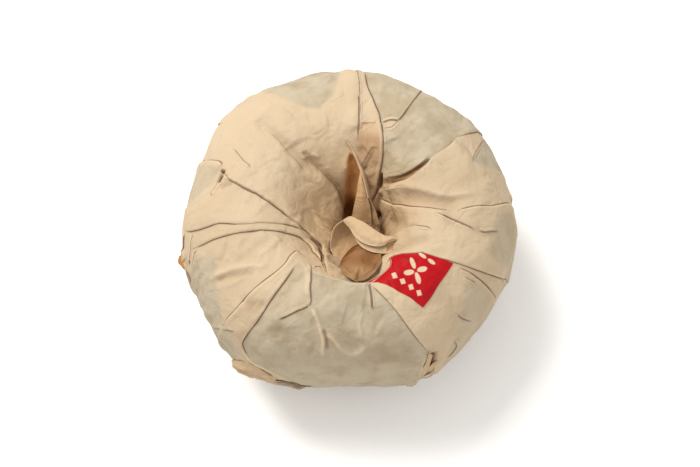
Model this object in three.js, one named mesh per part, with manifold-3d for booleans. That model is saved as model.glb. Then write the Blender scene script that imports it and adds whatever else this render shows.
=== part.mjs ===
// A 100 g pu-erh tuocha in its paper: a nest of pressed tea that rests on its round side with the
// hollow up. The tissue wrapper is pleated over the rim and its end is twisted shut in the hollow.
// Units are millimetres, +Z is up, the origin is on the table under the middle of the pack.
import * as THREE from 'three';
import { mergeVertices } from 'three/addons/utils/BufferGeometryUtils.js';
import Module from 'manifold-3d';

// ---- driving dimensions -------------------------------------------------------------------

const BODY = {
  girthRadius: 41.3, // widest radius, at the girth
  girthHeight: 25.0,
  height: 46.0, // crest of the rim above the table
  footRadius: 11.0, // flat spot that the pack rests on
  crestRadius: 22.5,
  throatRadius: 7.5, // where the gathered paper starts
  throatHeight: 25.0,
  throatShift: [1.8, -3.5], // the hollow sits off the middle
  domePower: 2.15, // superellipse powers of the three quarter curves
  shoulderPower: 2.25,
  funnelPower: 1.75,
};

// Middle of the pack's box before it is set over the origin.
const BOX_MIDDLE = [0.44, 0.97];

// The outline seen from above: waves round the girth as [count, share of the radius, phase in degrees].
const OUTLINE_WAVES = [
  [2, 0.005, 12],
  [3, 0.015, -9],
  [4, 0.01, 41],
  [5, 0.008, 12],
  [6, 0.008, 1],
  [7, 0.011, -17],
  [8, 0.004, -3],
];

// Steps of the mesh: round the body, and along its section from the foot to the throat's floor.
const BEARING_STEPS = 104;
const SECTION_STEPS = { dome: 8, shoulder: 13, funnel: 13, floor: 1 };
const FOLD_CLIMB = 0.7; // half width of the step at a fold's edge
const TWIST_THICKNESS = 1.0; // gathered paper of the twist, several layers
const BRIM_FILLING = [0, -4, -7]; // from the brim's face into the wall behind it
const CREASE_DEPTH = 0.22; // random unevenness of the paper

// A place on the body is [bearing, station]. The bearing is in degrees, anticlockwise from +X seen
// from above. The station runs along the section: 0 to 1 foot, 1 to 2 dome, 2 to 3 shoulder,
// 3 to 4 funnel, 4 to 5 the throat's floor.

// Edges of folded paper that lie over their neighbour. The raised paper is on the left or the right
// of the way along the edge, seen from outside; it stands `rise` high and sinks back over `reach`.
const FOLD_EDGES = [
  {
    name: 'back strip', side: 'right', rise: 0.9, reach: 9,
    way: [[82, 2.6], [74, 2.9], [62, 3.13], [53, 3.4], [52, 3.65]],
  },
  {
    name: 'back grey layer', side: 'right', rise: 0.5, reach: 6,
    way: [[62, 2.3], [58, 2.6], [57, 2.9], [62, 3.05]],
  },
  {
    name: 'right panel', side: 'left', rise: 1.7, reach: 9,
    way: [[34, 2.7], [30, 2.95], [28, 3.18], [36, 3.38], [48, 3.52]],
  },
  {
    name: 'right hem', side: 'left', rise: 0.6, reach: 8,
    way: [[352, 2.1], [2, 2.4], [356, 2.75], [354, 3.1], [11, 3.45]],
  },
  {
    name: 'seal cover', side: 'left', rise: 0.8, reach: 9,
    way: [[298, 3.18], [316, 3.07], [326, 2.88], [331, 2.58], [341, 2.05]],
  },
  {
    name: 'seal panel', side: 'left', rise: 0.7, reach: 8,
    way: [[284, 3.0], [292, 2.8], [297, 2.45], [302, 2.12]],
  },
  {
    name: 'front strip', side: 'right', rise: 0.9, reach: 6,
    way: [[235, 3.05], [237, 2.75], [233, 2.3], [243, 2.0], [255, 1.84]],
  },
  {
    name: 'front strip back', side: 'left', rise: 0.6, reach: 5,
    way: [[234, 3.05], [228, 2.85], [226, 2.5], [223, 2.2]],
  },
  {
    name: 'left strip', side: 'left', rise: 0.8, reach: 5,
    way: [[194, 2.2], [198, 2.7], [201, 3.0], [210, 3.2], [222, 3.35]],
  },
  {
    name: 'left strip back', side: 'left', rise: 0.7, reach: 6,
    way: [[186, 2.2], [190, 2.55], [195, 2.87], [198, 3.12], [208, 3.38]],
  },
  {
    name: 'left panel', side: 'left', rise: 1.0, reach: 9,
    way: [[165, 2.68], [174, 2.95], [188, 3.18], [206, 3.36], [230, 3.45], [254, 3.2]],
  },
  {
    name: 'left corner', side: 'right', rise: 0.9, reach: 4,
    way: [[157, 2.2], [160, 2.5], [164, 2.68], [176, 2.62]],
  },
  {
    name: 'back panel', side: 'right', rise: 1.2, reach: 7,
    way: [[96, 3.3], [99, 3.5], [105, 3.7], [111, 3.95]],
  },
];

// Ridges (height above zero) and creases (below zero) of the paper.
const RIDGES = [
  { name: 'top ridge', height: 0.6, width: 1.6, way: [[88, 2.3], [85, 2.8], [84, 3.25]] },
  {
    name: 'fin crest', height: 1.5, width: 1.2,
    way: [[96, 3.16], [87, 3.35], [80, 3.53], [67, 3.72], [45, 3.88]],
  },
  {
    name: 'back pocket', height: -3.6, width: 1.7,
    way: [[94, 3.3], [93, 3.55], [98, 3.75], [102, 4.0]],
  },
  { name: 'strip pocket', height: -1.8, width: 1.4, way: [[46, 3.6], [44, 3.8], [42, 3.98]] },
  {
    name: 'right pocket', height: -1.2, width: 1.6,
    way: [[31, 2.9], [32, 3.15], [42, 3.38], [50, 3.52]],
  },
  {
    name: 'right crease', height: -0.6, width: 1.3,
    way: [[8, 4.0], [335, 3.5], [336, 3.25], [340, 3.04]],
  },
  { name: 'right wrinkle', height: 0.5, width: 1.2, way: [[14, 3.38], [3, 3.1], [2, 2.85], [4, 2.7]] },
  { name: 'low wrinkle', height: 0.5, width: 1.1, way: [[349, 3.0], [345, 2.8], [348, 2.5]] },
  { name: 'back valley', height: -0.7, width: 2.4, way: [[136, 2.85], [139, 3.15], [138, 3.4]] },
  { name: 'back fold', height: -0.6, width: 1.8, way: [[131, 3.16], [122, 3.4], [112, 3.65]] },
  {
    name: 'front ridge', height: 0.5, width: 1.3,
    way: [[243, 3.1], [251, 2.83], [260, 2.5], [262, 2.28]],
  },
  {
    name: 'front cross ridge', height: 0.4, width: 1.4,
    way: [[260, 2.52], [269, 2.4], [276, 2.4], [281, 2.5]],
  },
  { name: 'front wrinkle', height: 0.35, width: 1.2, way: [[283, 3.0], [282, 2.9], [281, 2.74]] },
  { name: 'left wrinkle', height: 0.5, width: 1.4, way: [[210, 2.44], [214, 2.65], [223, 2.86]] },
  { name: 'front bundle', height: 1.2, width: 2.2, way: [[302, 2.1], [297, 2.0], [290, 1.84]] },
  { name: 'left bundle', height: 0.8, width: 1.8, way: [[190, 2.15], [196, 2.02], [204, 1.95]] },
];

// The twist, as rows of points from its root to its free edge. The cup is the paper's end, open at
// the top; the flap is its back, bent over to the right, with a second layer under it; the brim is
// gathered paper between the cup and the front of the rim; the fin is a pleat up the hollow's back.
const CUP_ROWS = [
  [[1.5, 1, 26], [-0.8, -0.4, 26], [-1.6, -3.4, 26], [-1.4, -6.6, 26], [-0.4, -9, 26.5], [1.2, -10.4, 27]],
  [[1.1, -0.4, 32.5], [-1.9, -1.8, 32], [-3, -4.3, 31], [-3.1, -7.1, 30.2], [-2.6, -9.4, 29.8], [-1.2, -11.2, 30.2]],
  [[0.9, -2, 38.8], [-1.7, -3.4, 38.3], [-3.6, -5.1, 36.5], [-4, -7.3, 35], [-4.1, -9.5, 33.4], [-3, -11.4, 33.4]],
];
const FLAP_ROWS = [
  [[-0.6, -2.7, 38.8], [0.9, -2.1, 39.2], [6.7, -5.8, 40.4], [10.6, -8.5, 41.6], [12.6, -9.8, 41.2]],
  [[-0.8, -3.2, 39.0], [1.1, -4.3, 39.8], [5.0, -7.7, 40.6], [8.4, -9.5, 41.4], [10.8, -9.8, 42.2]],
  [[-1.0, -3.5, 38.4], [0.9, -6.1, 38.6], [3.6, -9.0, 39.4], [6.2, -10.3, 40.0], [8.9, -10.6, 41.0]],
];
const UNDER_ROWS = [
  [[2.6, -7.1, 38.0], [5.5, -8.3, 38.8], [8.9, -9.4, 39.6], [12.6, -9.9, 40.9]],
  [[2.4, -7.8, 37.8], [5.3, -9.5, 38.2], [8.2, -10.4, 38.8], [12.0, -10.7, 39.9]],
  [[2.6, -8.5, 38.2], [5.0, -10.4, 38.6], [7.2, -11.6, 38.9], [10.6, -11.9, 39.6]],
];
const BRIM_ROWS = [
  [[-3.2, -14.2, 40.4], [-0.8, -19.3, 45.0], [2.6, -21.3, 45.5], [6.8, -19.8, 45.2], [8.4, -16.8, 44.0]],
  [[-2.2, -13.8, 38.6], [0.0, -16.4, 42.2], [2.7, -16.6, 42.6], [5.6, -15.8, 42.4], [7.8, -14.4, 42.2]],
  [[-1.0, -11.9, 35.0], [0.2, -11.6, 36.0], [1.8, -10.2, 36.2], [3.6, -9.7, 36.6], [6.6, -11.4, 37.6]],
  [[-0.4, -9.6, 28.0], [0.6, -8.6, 28.0], [2.2, -7.2, 28.0], [4.4, -7.0, 28.0], [6.6, -8.4, 29.0]],
];
const FIN_ROWS = [
  [[3.0, 8.7, 39.4], [2.0, 5.6, 33.2], [1.0, 2.6, 27.0]],
  [[3.3, 8.3, 40.0], [3.6, 4.6, 34.2], [3.4, 1.0, 28.0]],
  [[3.7, 8.3, 39.2], [5.5, 4.6, 33.4], [7.2, 1.4, 27.5]],
];
const TWIST_STEPS = { cup: [14, 7], flap: [14, 5], under: [8, 4], brim: [10, 9], fin: [5, 6] };

const PAPER_COLOUR = 0xdcc49f;

// ---- the body's form ----------------------------------------------------------------------

const radians = THREE.MathUtils.degToRad;
const smoothstep = THREE.MathUtils.smoothstep;
const clamp = THREE.MathUtils.clamp;

// A quarter of a superellipse: turn 0 gives [1, 0], turn 1 gives [0, 1].
function quarter(power, turn) {
  const angle = clamp(turn, 0, 1) * Math.PI / 2;
  return [Math.cos(angle) ** (2 / power), Math.sin(angle) ** (2 / power)];
}

// Radius and height of the section at a station, before the outline's waves.
function section(station) {
  const b = BODY;
  if (station <= 1) {
    return [b.footRadius * station, 0];
  }
  if (station <= 2) {
    const [falling, rising] = quarter(b.domePower, station - 1);
    return [b.footRadius + (b.girthRadius - b.footRadius) * rising, b.girthHeight * (1 - falling)];
  }
  if (station <= 3) {
    const [falling, rising] = quarter(b.shoulderPower, station - 2);
    const radius = b.crestRadius + (b.girthRadius - b.crestRadius) * falling;
    return [radius, b.girthHeight + (b.height - b.girthHeight) * rising];
  }
  if (station <= 4) {
    const [falling, rising] = quarter(b.funnelPower, station - 3);
    const radius = b.crestRadius - (b.crestRadius - b.throatRadius) * rising;
    return [radius, b.throatHeight + (b.height - b.throatHeight) * falling];
  }
  return [b.throatRadius * (5 - station), b.throatHeight];
}

// Relative radius of the outline at a bearing.
function outline(bearing) {
  const wave = (sum, [count, share, phase]) => sum + share * Math.cos(count * radians(bearing - phase));
  return OUTLINE_WAVES.reduce(wave, 1);
}

// The smooth body's surface. The outline fades in from the foot and fades out down the funnel,
// where the surface moves over to the shifted throat.
function bodyPoint(bearing, station) {
  const [radius, height] = section(station);
  const inward = smoothstep(station, 2.6, 4.0);
  const shaped = 1 + (outline(bearing) - 1) * clamp((station - 0.8) / 0.8, 0, 1) * (1 - inward);
  const [shiftX, shiftY] = BODY.throatShift;
  const angle = radians(bearing);
  return new THREE.Vector3(
    radius * shaped * Math.cos(angle) + shiftX * inward,
    radius * shaped * Math.sin(angle) + shiftY * inward,
    height,
  );
}

// The outward normal of the smooth body.
function bodyNormal(bearing, station) {
  const step = 0.01;
  const along = bodyPoint(bearing, station + step).sub(bodyPoint(bearing, station - step));
  const round = bodyPoint(bearing + 1, station).sub(bodyPoint(bearing - 1, station));
  return round.cross(along).normalize();
}

// ---- folds, ridges and creases ------------------------------------------------------------

// A way across the body as short straight pieces, each with its place along the way (0 to 1).
function layWay(way) {
  const curve = new THREE.CatmullRomCurve3(
    way.map(([bearing, station]) => new THREE.Vector3(unwrap(bearing, way[0][0]), station, 0)),
  );
  const count = 6 * (way.length - 1);
  const points = curve.getPoints(count);
  return points.map(({ x, y }, index) => ({
    point: bodyPoint(x, y),
    normal: bodyNormal(x, y),
    share: index / count,
  }));
}

// The bearing nearest to a reference, so that a way can cross the zero bearing.
function unwrap(bearing, reference) {
  return bearing - 360 * Math.round((bearing - reference) / 360);
}

// Distance from a point to a laid way, its sign (left of the way is positive), and the share along it.
function measure(point, laid) {
  let best = { distance: Infinity, sign: 1, share: 0, beyond: 0 };
  for (let i = 0; i + 1 < laid.length; i += 1) {
    const start = laid[i].point;
    const run = laid[i + 1].point.clone().sub(start);
    const offset = point.clone().sub(start);
    const part = clamp(offset.dot(run) / run.lengthSq(), 0, 1);
    const away = offset.sub(run.clone().multiplyScalar(part));
    const distance = away.length();
    if (distance < best.distance) {
      const left = laid[i].normal.clone().cross(run);
      const share = laid[i].share + part * (laid[i + 1].share - laid[i].share);
      best = { distance, sign: Math.sign(away.dot(left)) || 1, share };
    }
  }
  return best;
}

// Folds run out softly at both ends of their way.
function runOut(share) {
  return smoothstep(share, 0, 0.12) * smoothstep(1 - share, 0, 0.12);
}

// Height of one fold's raised paper over the body at a point.
function foldLift(point, fold) {
  const { distance, sign, share } = measure(point, fold.laid);
  const side = fold.side === 'left' ? sign : -sign;
  const across = distance * side;
  const climb = smoothstep(across, -FOLD_CLIMB, FOLD_CLIMB);
  const sink = Math.exp(-((Math.max(across, 0) / fold.reach) ** 2));
  return fold.rise * climb * sink * runOut(share);
}

// Height of one ridge, or depth of one crease, at a point.
function ridgeLift(point, ridge) {
  const { distance, share } = measure(point, ridge.laid);
  return ridge.height * Math.exp(-((distance / ridge.width) ** 2)) * runOut(share);
}

// Slow uneven swell of the paper between its folds, from a few crossed waves.
function swell({ x, y, z }) {
  const first = Math.sin(0.31 * x + 0.17 * y + 1.3) * Math.sin(0.23 * y - 0.29 * z);
  const second = Math.sin(0.52 * x - 0.44 * y + 0.6) * Math.cos(0.47 * z + 0.21 * x);
  return CREASE_DEPTH * (first + 0.6 * second);
}

const laidEdges = FOLD_EDGES.map((fold) => ({ ...fold, laid: layWay(fold.way) }));
const laidRidges = RIDGES.map((ridge) => ({ ...ridge, laid: layWay(ridge.way) }));

// The paper's surface: the smooth body lifted by its folds. The foot stays flat.
function paperPoint(bearing, station) {
  const point = bodyPoint(bearing, station);
  const folds = laidEdges.reduce((sum, fold) => sum + foldLift(point, fold), 0);
  const ridges = laidRidges.reduce((sum, ridge) => sum + ridgeLift(point, ridge), 0);
  const fade = smoothstep(station, 1.0, 1.5) * smoothstep(5 - station, 0, 1);
  const lift = (folds + ridges + swell(point)) * fade;
  return point.add(bodyNormal(bearing, station).multiplyScalar(lift));
}

// ---- meshes -------------------------------------------------------------------------------

// Stations of the mesh's rings, from the rim of the foot to the last ring of the throat's floor.
function ringStations() {
  const stations = [];
  [SECTION_STEPS.dome, SECTION_STEPS.shoulder, SECTION_STEPS.funnel].forEach((steps, index) => {
    for (let step = 0; step < steps; step += 1) {
      stations.push(1 + index + step / steps);
    }
  });
  for (let step = 0; step < SECTION_STEPS.floor; step += 1) {
    stations.push(4 + step / SECTION_STEPS.floor);
  }
  return stations;
}

// The closed body: rings of vertices, with a vertex under the foot and one on the throat's floor.
function bodyGeometry() {
  const rings = ringStations();
  const positions = [0, 0, 0];
  for (const station of rings) {
    for (let step = 0; step < BEARING_STEPS; step += 1) {
      positions.push(...paperPoint(360 * step / BEARING_STEPS, station).toArray());
    }
  }
  positions.push(...bodyPoint(0, 5).toArray());
  const last = 1 + rings.length * BEARING_STEPS;
  const corner = (ring, step) => 1 + ring * BEARING_STEPS + (step % BEARING_STEPS);
  const faces = [];
  for (let step = 0; step < BEARING_STEPS; step += 1) {
    faces.push(0, corner(0, step + 1), corner(0, step));
    faces.push(last, corner(rings.length - 1, step), corner(rings.length - 1, step + 1));
    for (let ring = 0; ring + 1 < rings.length; ring += 1) {
      const [a, b] = [corner(ring, step), corner(ring, step + 1)];
      const [c, d] = [corner(ring + 1, step + 1), corner(ring + 1, step)];
      faces.push(a, b, c, a, c, d);
    }
  }
  return indexedGeometry(positions, faces);
}

function indexedGeometry(positions, faces) {
  const geometry = new THREE.BufferGeometry();
  geometry.setAttribute('position', new THREE.Float32BufferAttribute(positions, 3));
  geometry.setIndex(faces);
  return geometry;
}

// A grid of points on the smooth surface through rows of control points.
function loftPoints(rows, [acrossSteps, alongSteps]) {
  const toVectors = (row) => row.map((point) => new THREE.Vector3(...point));
  const rowCurves = rows.map((row) => new THREE.CatmullRomCurve3(toVectors(row)));
  const grid = [];
  for (let across = 0; across <= acrossSteps; across += 1) {
    const stations = rowCurves.map((curve) => curve.getPoint(across / acrossSteps));
    grid.push(new THREE.CatmullRomCurve3(stations).getPoints(alongSteps));
  }
  return grid;
}

// Normals of a grid of points, from its neighbours' differences.
function gridNormals(grid) {
  const at = (i, j) => grid[clamp(i, 0, grid.length - 1)][clamp(j, 0, grid[0].length - 1)];
  return grid.map((row, i) => row.map((_, j) => {
    const across = at(i + 1, j).clone().sub(at(i - 1, j));
    const along = at(i, j + 1).clone().sub(at(i, j - 1));
    return across.cross(along).normalize();
  }));
}

// The closed skin between an upper and a lower grid of the same size.
function closedGeometry(upper, lower) {
  const [width, length] = [upper.length, upper[0].length];
  const positions = [...upper.flat(), ...lower.flat()].flatMap((point) => point.toArray());
  const top = (i, j) => i * length + j;
  const under = (i, j) => width * length + top(i, j);
  const faces = [];
  const quad = (a, b, c, d) => faces.push(a, b, c, a, c, d);
  for (let i = 0; i + 1 < width; i += 1) {
    for (let j = 0; j + 1 < length; j += 1) {
      quad(top(i, j), top(i + 1, j), top(i + 1, j + 1), top(i, j + 1));
      quad(under(i, j), under(i, j + 1), under(i + 1, j + 1), under(i + 1, j));
    }
    quad(top(i, 0), under(i, 0), under(i + 1, 0), top(i + 1, 0));
    quad(top(i, length - 1), top(i + 1, length - 1), under(i + 1, length - 1), under(i, length - 1));
  }
  for (let j = 0; j + 1 < length; j += 1) {
    quad(top(0, j), top(0, j + 1), under(0, j + 1), under(0, j));
    quad(top(width - 1, j), under(width - 1, j), under(width - 1, j + 1), top(width - 1, j + 1));
  }
  return indexedGeometry(positions, faces);
}

// A sheet of gathered paper about rows of points.
function sheetGeometry(rows, steps) {
  const grid = loftPoints(rows, steps);
  const normals = gridNormals(grid);
  const shifted = (lift) => grid.map(
    (row, i) => row.map((point, j) => point.clone().addScaledVector(normals[i][j], lift)),
  );
  return closedGeometry(shifted(TWIST_THICKNESS / 2), shifted(-TWIST_THICKNESS / 2));
}

// The brim's paper fills the space down to the hollow's wall.
function filledGeometry(rows, steps, filling) {
  const grid = loftPoints(rows, steps);
  const sunk = grid.map((row) => row.map((point) => point.clone().add(filling)));
  return closedGeometry(grid, sunk);
}

// ---- joining ------------------------------------------------------------------------------

const wasm = await Module();
wasm.setup();

function toSolid(geometry) {
  const merged = mergeVertices(geometry, 1e-4);
  return new wasm.Manifold(new wasm.Mesh({
    numProp: 3,
    vertProperties: new Float32Array(merged.attributes.position.array),
    triVerts: new Uint32Array(merged.index.array),
  }));
}

// The largest body of a joined solid, without the slivers that a join may leave.
function largestBody(joinedSolid) {
  return joinedSolid.decompose().reduce((best, body) => (body.volume() > best.volume() ? body : best));
}

function toGeometry(solid) {
  const { vertProperties, triVerts } = solid.getMesh();
  const geometry = indexedGeometry(Array.from(vertProperties), Array.from(triVerts));
  geometry.computeVertexNormals();
  return geometry;
}

// ---- the wrapped tuocha -------------------------------------------------------------------

const twist = [
  sheetGeometry(CUP_ROWS, TWIST_STEPS.cup),
  sheetGeometry(FLAP_ROWS, TWIST_STEPS.flap),
  sheetGeometry(UNDER_ROWS, TWIST_STEPS.under),
  filledGeometry(BRIM_ROWS, TWIST_STEPS.brim, new THREE.Vector3(...BRIM_FILLING)),
  sheetGeometry(FIN_ROWS, TWIST_STEPS.fin),
];
const joined = twist.map(toSolid).reduce((whole, sheet) => whole.add(sheet), toSolid(bodyGeometry()));

const paper = new THREE.MeshStandardMaterial({ color: PAPER_COLOUR, roughness: 0.85, metalness: 0 });
const wrappedTuocha = new THREE.Mesh(toGeometry(largestBody(joined)), paper);
wrappedTuocha.name = 'wrapped_tuocha';
wrappedTuocha.position.set(-BOX_MIDDLE[0], -BOX_MIDDLE[1], 0);

const tuocha = new THREE.Group();
tuocha.add(wrappedTuocha);

export default tuocha;
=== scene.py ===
"""A 100 g pu-erh tuocha in its paper: the pleated wrapper, its twisted end and its printed seal.

The pack is dressed over the CAD frame. Its form is a nest with a hollow on top. A place on it is a
(bearing, station) pair: the bearing in degrees, anticlockwise from +X seen from above, and the
station along the section, 0 to 1 foot, 1 to 2 dome, 2 to 3 shoulder, 3 to 4 funnel, 4 to 5 the
floor of the throat. Working units are millimetres in the pack's own frame.
"""

from __future__ import annotations

import logging
import math
from collections.abc import Callable
from dataclasses import dataclass, field
from enum import Enum

import bpy
import numpy as np
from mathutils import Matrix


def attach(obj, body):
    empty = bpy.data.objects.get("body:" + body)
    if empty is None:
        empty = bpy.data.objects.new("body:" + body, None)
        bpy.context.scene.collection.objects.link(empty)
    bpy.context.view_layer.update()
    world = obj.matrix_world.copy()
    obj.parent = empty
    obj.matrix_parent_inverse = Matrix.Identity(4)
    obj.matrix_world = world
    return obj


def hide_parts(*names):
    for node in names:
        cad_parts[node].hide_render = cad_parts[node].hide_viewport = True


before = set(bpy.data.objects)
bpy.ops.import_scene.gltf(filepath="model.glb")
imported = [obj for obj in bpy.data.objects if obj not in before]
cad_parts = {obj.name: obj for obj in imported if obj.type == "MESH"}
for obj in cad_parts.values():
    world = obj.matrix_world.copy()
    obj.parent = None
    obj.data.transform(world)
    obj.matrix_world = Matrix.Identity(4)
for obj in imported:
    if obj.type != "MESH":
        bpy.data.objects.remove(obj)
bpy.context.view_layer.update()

LOG = logging.getLogger("tuocha")
METRES = 0.001
BOX_MIDDLE = (0.44, 0.97, 0.0)  # middle of the pack's box before it is set over the origin
CAD_NODE = "wrapped_tuocha"
Array = np.ndarray
Piece = bpy.types.Object
Socket = bpy.types.NodeSocket
Place = tuple[float, float]
Point = tuple[float, float, float]
Colour = tuple[float, float, float]


# ---- small numeric tools ----


def smoothstep(value: Array, low: float, high: float) -> Array:
    """Smooth rise from 0 at low to 1 at high."""
    t = np.clip((np.asarray(value, float) - low) / (high - low), 0.0, 1.0)
    return t * t * (3.0 - 2.0 * t)


def unit(vectors: Array) -> Array:
    """Vectors scaled to length 1 along their last axis."""
    return vectors / np.maximum(np.linalg.norm(vectors, axis=-1, keepdims=True), 1e-9)


def path_length(points: Array) -> float:
    """Length of the line through points."""
    return float(np.linalg.norm(np.diff(points, axis=0), axis=1).sum())


def catmull(points: Array, count: int) -> Array:
    """Points on the smooth curve through control points.

    Args:
        points: Control points, one per row.
        count: Number of points wanted.

    Returns:
        An array of count rows.
    """
    points = np.asarray(points, float)
    if len(points) == 2:
        share = np.linspace(0.0, 1.0, count)[:, None]
        return points[0] * (1 - share) + points[1] * share
    padded = np.vstack([2 * points[0] - points[1], points, 2 * points[-1] - points[-2]])
    place = np.linspace(0.0, len(points) - 1, count)
    index = np.minimum(place.astype(int), len(points) - 2)
    t = (place - index)[:, None]
    a, b, c, d = (padded[index + k] for k in range(4))
    return 0.5 * (2 * b + (c - a) * t + (2 * a - 5 * b + 4 * c - d) * t**2 + (3 * b - a - 3 * c + d) * t**3)


def run_out(share: Array, length: float = 0.12) -> Array:
    """1 along a fold and 0 at both its ends."""
    return smoothstep(share, 0.0, length) * smoothstep(1.0 - share, 0.0, length)


@dataclass
class Grain:
    """A smooth random field in space, between about -1 and 1."""

    seed: int
    size: float  # distance between lattice points
    cells: int = 24

    def __post_init__(self) -> None:
        """Fills the lattice."""
        self.lattice = np.random.default_rng(self.seed).uniform(-1.0, 1.0, (self.cells,) * 3)

    def at(self, points: Array) -> Array:
        """Values of the field.

        Args:
            points: Points (n, 3).

        Returns:
            n values.
        """
        place = points / self.size + 100.0
        low = np.floor(place).astype(int)
        t = place - low
        t = t * t * (3.0 - 2.0 * t)
        total = np.zeros(len(points))
        for corner in range(8):
            bits = np.array([corner & 1, corner >> 1 & 1, corner >> 2 & 1])
            i, j, k = ((low + bits) % self.cells).T
            total += np.prod(np.where(bits, t, 1.0 - t), axis=1) * self.lattice[i, j, k]
        return total


# ---- the form under the paper ----


@dataclass(frozen=True)
class PackForm:
    """The smooth body of the pack."""

    girth_radius: float = 41.3
    girth_height: float = 25.0
    height: float = 46.0
    foot_radius: float = 11.0
    crest_radius: float = 22.5
    throat_radius: float = 7.5
    throat_height: float = 25.0
    throat_shift: Place = (1.8, -3.5)
    dome_power: float = 2.15
    shoulder_power: float = 2.25
    funnel_power: float = 1.75
    waves: tuple[Point, ...] = (  # crests round the pack, share of the radius, bearing of a crest
        (2, 0.005, 12), (3, 0.015, -9), (4, 0.01, 41), (5, 0.008, 12), (6, 0.008, 1), (7, 0.011, -17), (8, 0.004, -3)
    )

    @staticmethod
    def quarter(power: float, turn: Array) -> tuple[Array, Array]:
        """A quarter of a superellipse, from (1, 0) at turn 0 to (0, 1) at turn 1."""
        angle = np.clip(turn, 0.0, 1.0) * math.pi / 2
        return np.abs(np.cos(angle)) ** (2 / power), np.abs(np.sin(angle)) ** (2 / power)

    def section(self, station: Array) -> tuple[Array, Array]:
        """The pack's section, before its waves.

        Args:
            station: Stations along it.

        Returns:
            Radii and heights.
        """
        fall_d, rise_d = self.quarter(self.dome_power, station - 1)
        fall_s, rise_s = self.quarter(self.shoulder_power, station - 2)
        fall_f, rise_f = self.quarter(self.funnel_power, station - 3)
        radii = [
            self.foot_radius * station,
            self.foot_radius + (self.girth_radius - self.foot_radius) * rise_d,
            self.crest_radius + (self.girth_radius - self.crest_radius) * fall_s,
            self.crest_radius - (self.crest_radius - self.throat_radius) * rise_f,
        ]
        heights = [
            0 * station,
            self.girth_height * (1 - fall_d),
            self.girth_height + (self.height - self.girth_height) * rise_s,
            self.throat_height + (self.height - self.throat_height) * fall_f,
        ]
        below = [station <= end for end in (1, 2, 3, 4)]
        radius = np.select(below, radii, self.throat_radius * (5 - station))
        return radius, np.select(below, heights, self.throat_height)

    def point(self, bearing: Array, station: Array) -> Array:
        """Points of the smooth body.

        Args:
            bearing: Bearings in degrees.
            station: Stations along the section.

        Returns:
            Points (n, 3).
        """
        radius, height = self.section(station)
        inward = smoothstep(station, 2.6, 4.0)
        wave = sum(share * np.cos(n * np.radians(bearing - phase)) for n, share, phase in self.waves)
        shaped = radius * (1 + wave * np.clip((station - 0.8) / 0.8, 0, 1) * (1 - inward))
        angle = np.radians(bearing)
        x = shaped * np.cos(angle) + self.throat_shift[0] * inward
        y = shaped * np.sin(angle) + self.throat_shift[1] * inward
        return np.stack([x, y, height], axis=-1)

    def slopes(self, bearing: Array, station: Array, step: float = 0.01) -> tuple[Array, Array]:
        """Change of the point per degree of bearing and per unit of station."""
        along = (self.point(bearing, station + step) - self.point(bearing, station - step)) / (2 * step)
        return (self.point(bearing + 1, station) - self.point(bearing - 1, station)) / 2, along

    def normal(self, bearing: Array, station: Array) -> Array:
        """Outward normals (n, 3) of the smooth body."""
        return unit(np.cross(*self.slopes(bearing, station)))

    @staticmethod
    def shut(station: Array) -> Array:
        """1 where the paper has its relief, 0 on the foot and on the floor of the throat."""
        return smoothstep(station, 1.0, 1.35) * smoothstep(5 - station, 0.0, 1.0)


@dataclass(frozen=True)
class Way:
    """A way across the body, through places."""

    places: tuple[Place, ...]

    def unwrapped(self) -> Array:
        """Its places, with bearings that run on past zero."""
        first = self.places[0][0]
        return np.array([(b - 360 * round((b - first) / 360), s) for b, s in self.places], float)

    def sample(self, count: int) -> Array:
        """Places (count, 2) on the smooth way."""
        return catmull(self.unwrapped(), count)

    def lay(self, form: PackForm, count: int = 0) -> LaidWay:
        """The way as short straight pieces on the body."""
        return LaidWay.over(form, self.sample(count or 6 * (len(self.places) - 1) + 1))


@dataclass
class LaidWay:
    """A way's points and the body's normals there."""

    points: Array
    normals: Array

    @classmethod
    def over(cls, form: PackForm, places: Array) -> LaidWay:
        """The way over a body through close places (n, 2)."""
        return cls(form.point(*places.T), form.normal(*places.T))

    def reaches(self, low: Array, high: Array, span: float) -> bool:
        """True if the way comes within a span of a box."""
        return bool((self.points.min(0) - span < high).all() and (self.points.max(0) + span > low).all())

    def measure(self, points: Array, limit: float) -> tuple[Array, Array, Array]:
        """Distance, side (left of the way is 1, right is -1) and share along the way of each point.

        Args:
            points: Points (n, 3).
            limit: Points farther than this may be given an endless distance.

        Returns:
            Three arrays of n values.
        """
        distance, side, share = np.full(len(points), np.inf), np.ones(len(points)), np.zeros(len(points))
        low, high = self.points.min(0) - limit, self.points.max(0) + limit
        near = np.flatnonzero(((points > low) & (points < high)).all(axis=1))
        if len(near):
            start, run = self.points[:-1], np.diff(self.points, axis=0)
            offset = points[near][:, None, :] - start[None]
            part = np.clip((offset * run).sum(-1) / np.maximum((run**2).sum(-1), 1e-12), 0.0, 1.0)
            away = offset - part[..., None] * run
            square = (away**2).sum(-1)
            best = square.argmin(axis=1)
            rows = np.arange(len(near))
            distance[near] = np.sqrt(square[rows, best])
            left = np.cross(self.normals[:-1], run)[best]
            side[near] = np.where((away[rows, best] * left).sum(-1) < 0, -1.0, 1.0)
            share[near] = (best + part[rows, best]) / len(run)
        return distance, side, share


# ---- folds, ridges and creases ----


class Side(Enum):
    """The side of a fold's edge that its raised paper lies on, seen from outside along the way."""

    LEFT = 1
    RIGHT = -1


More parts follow.
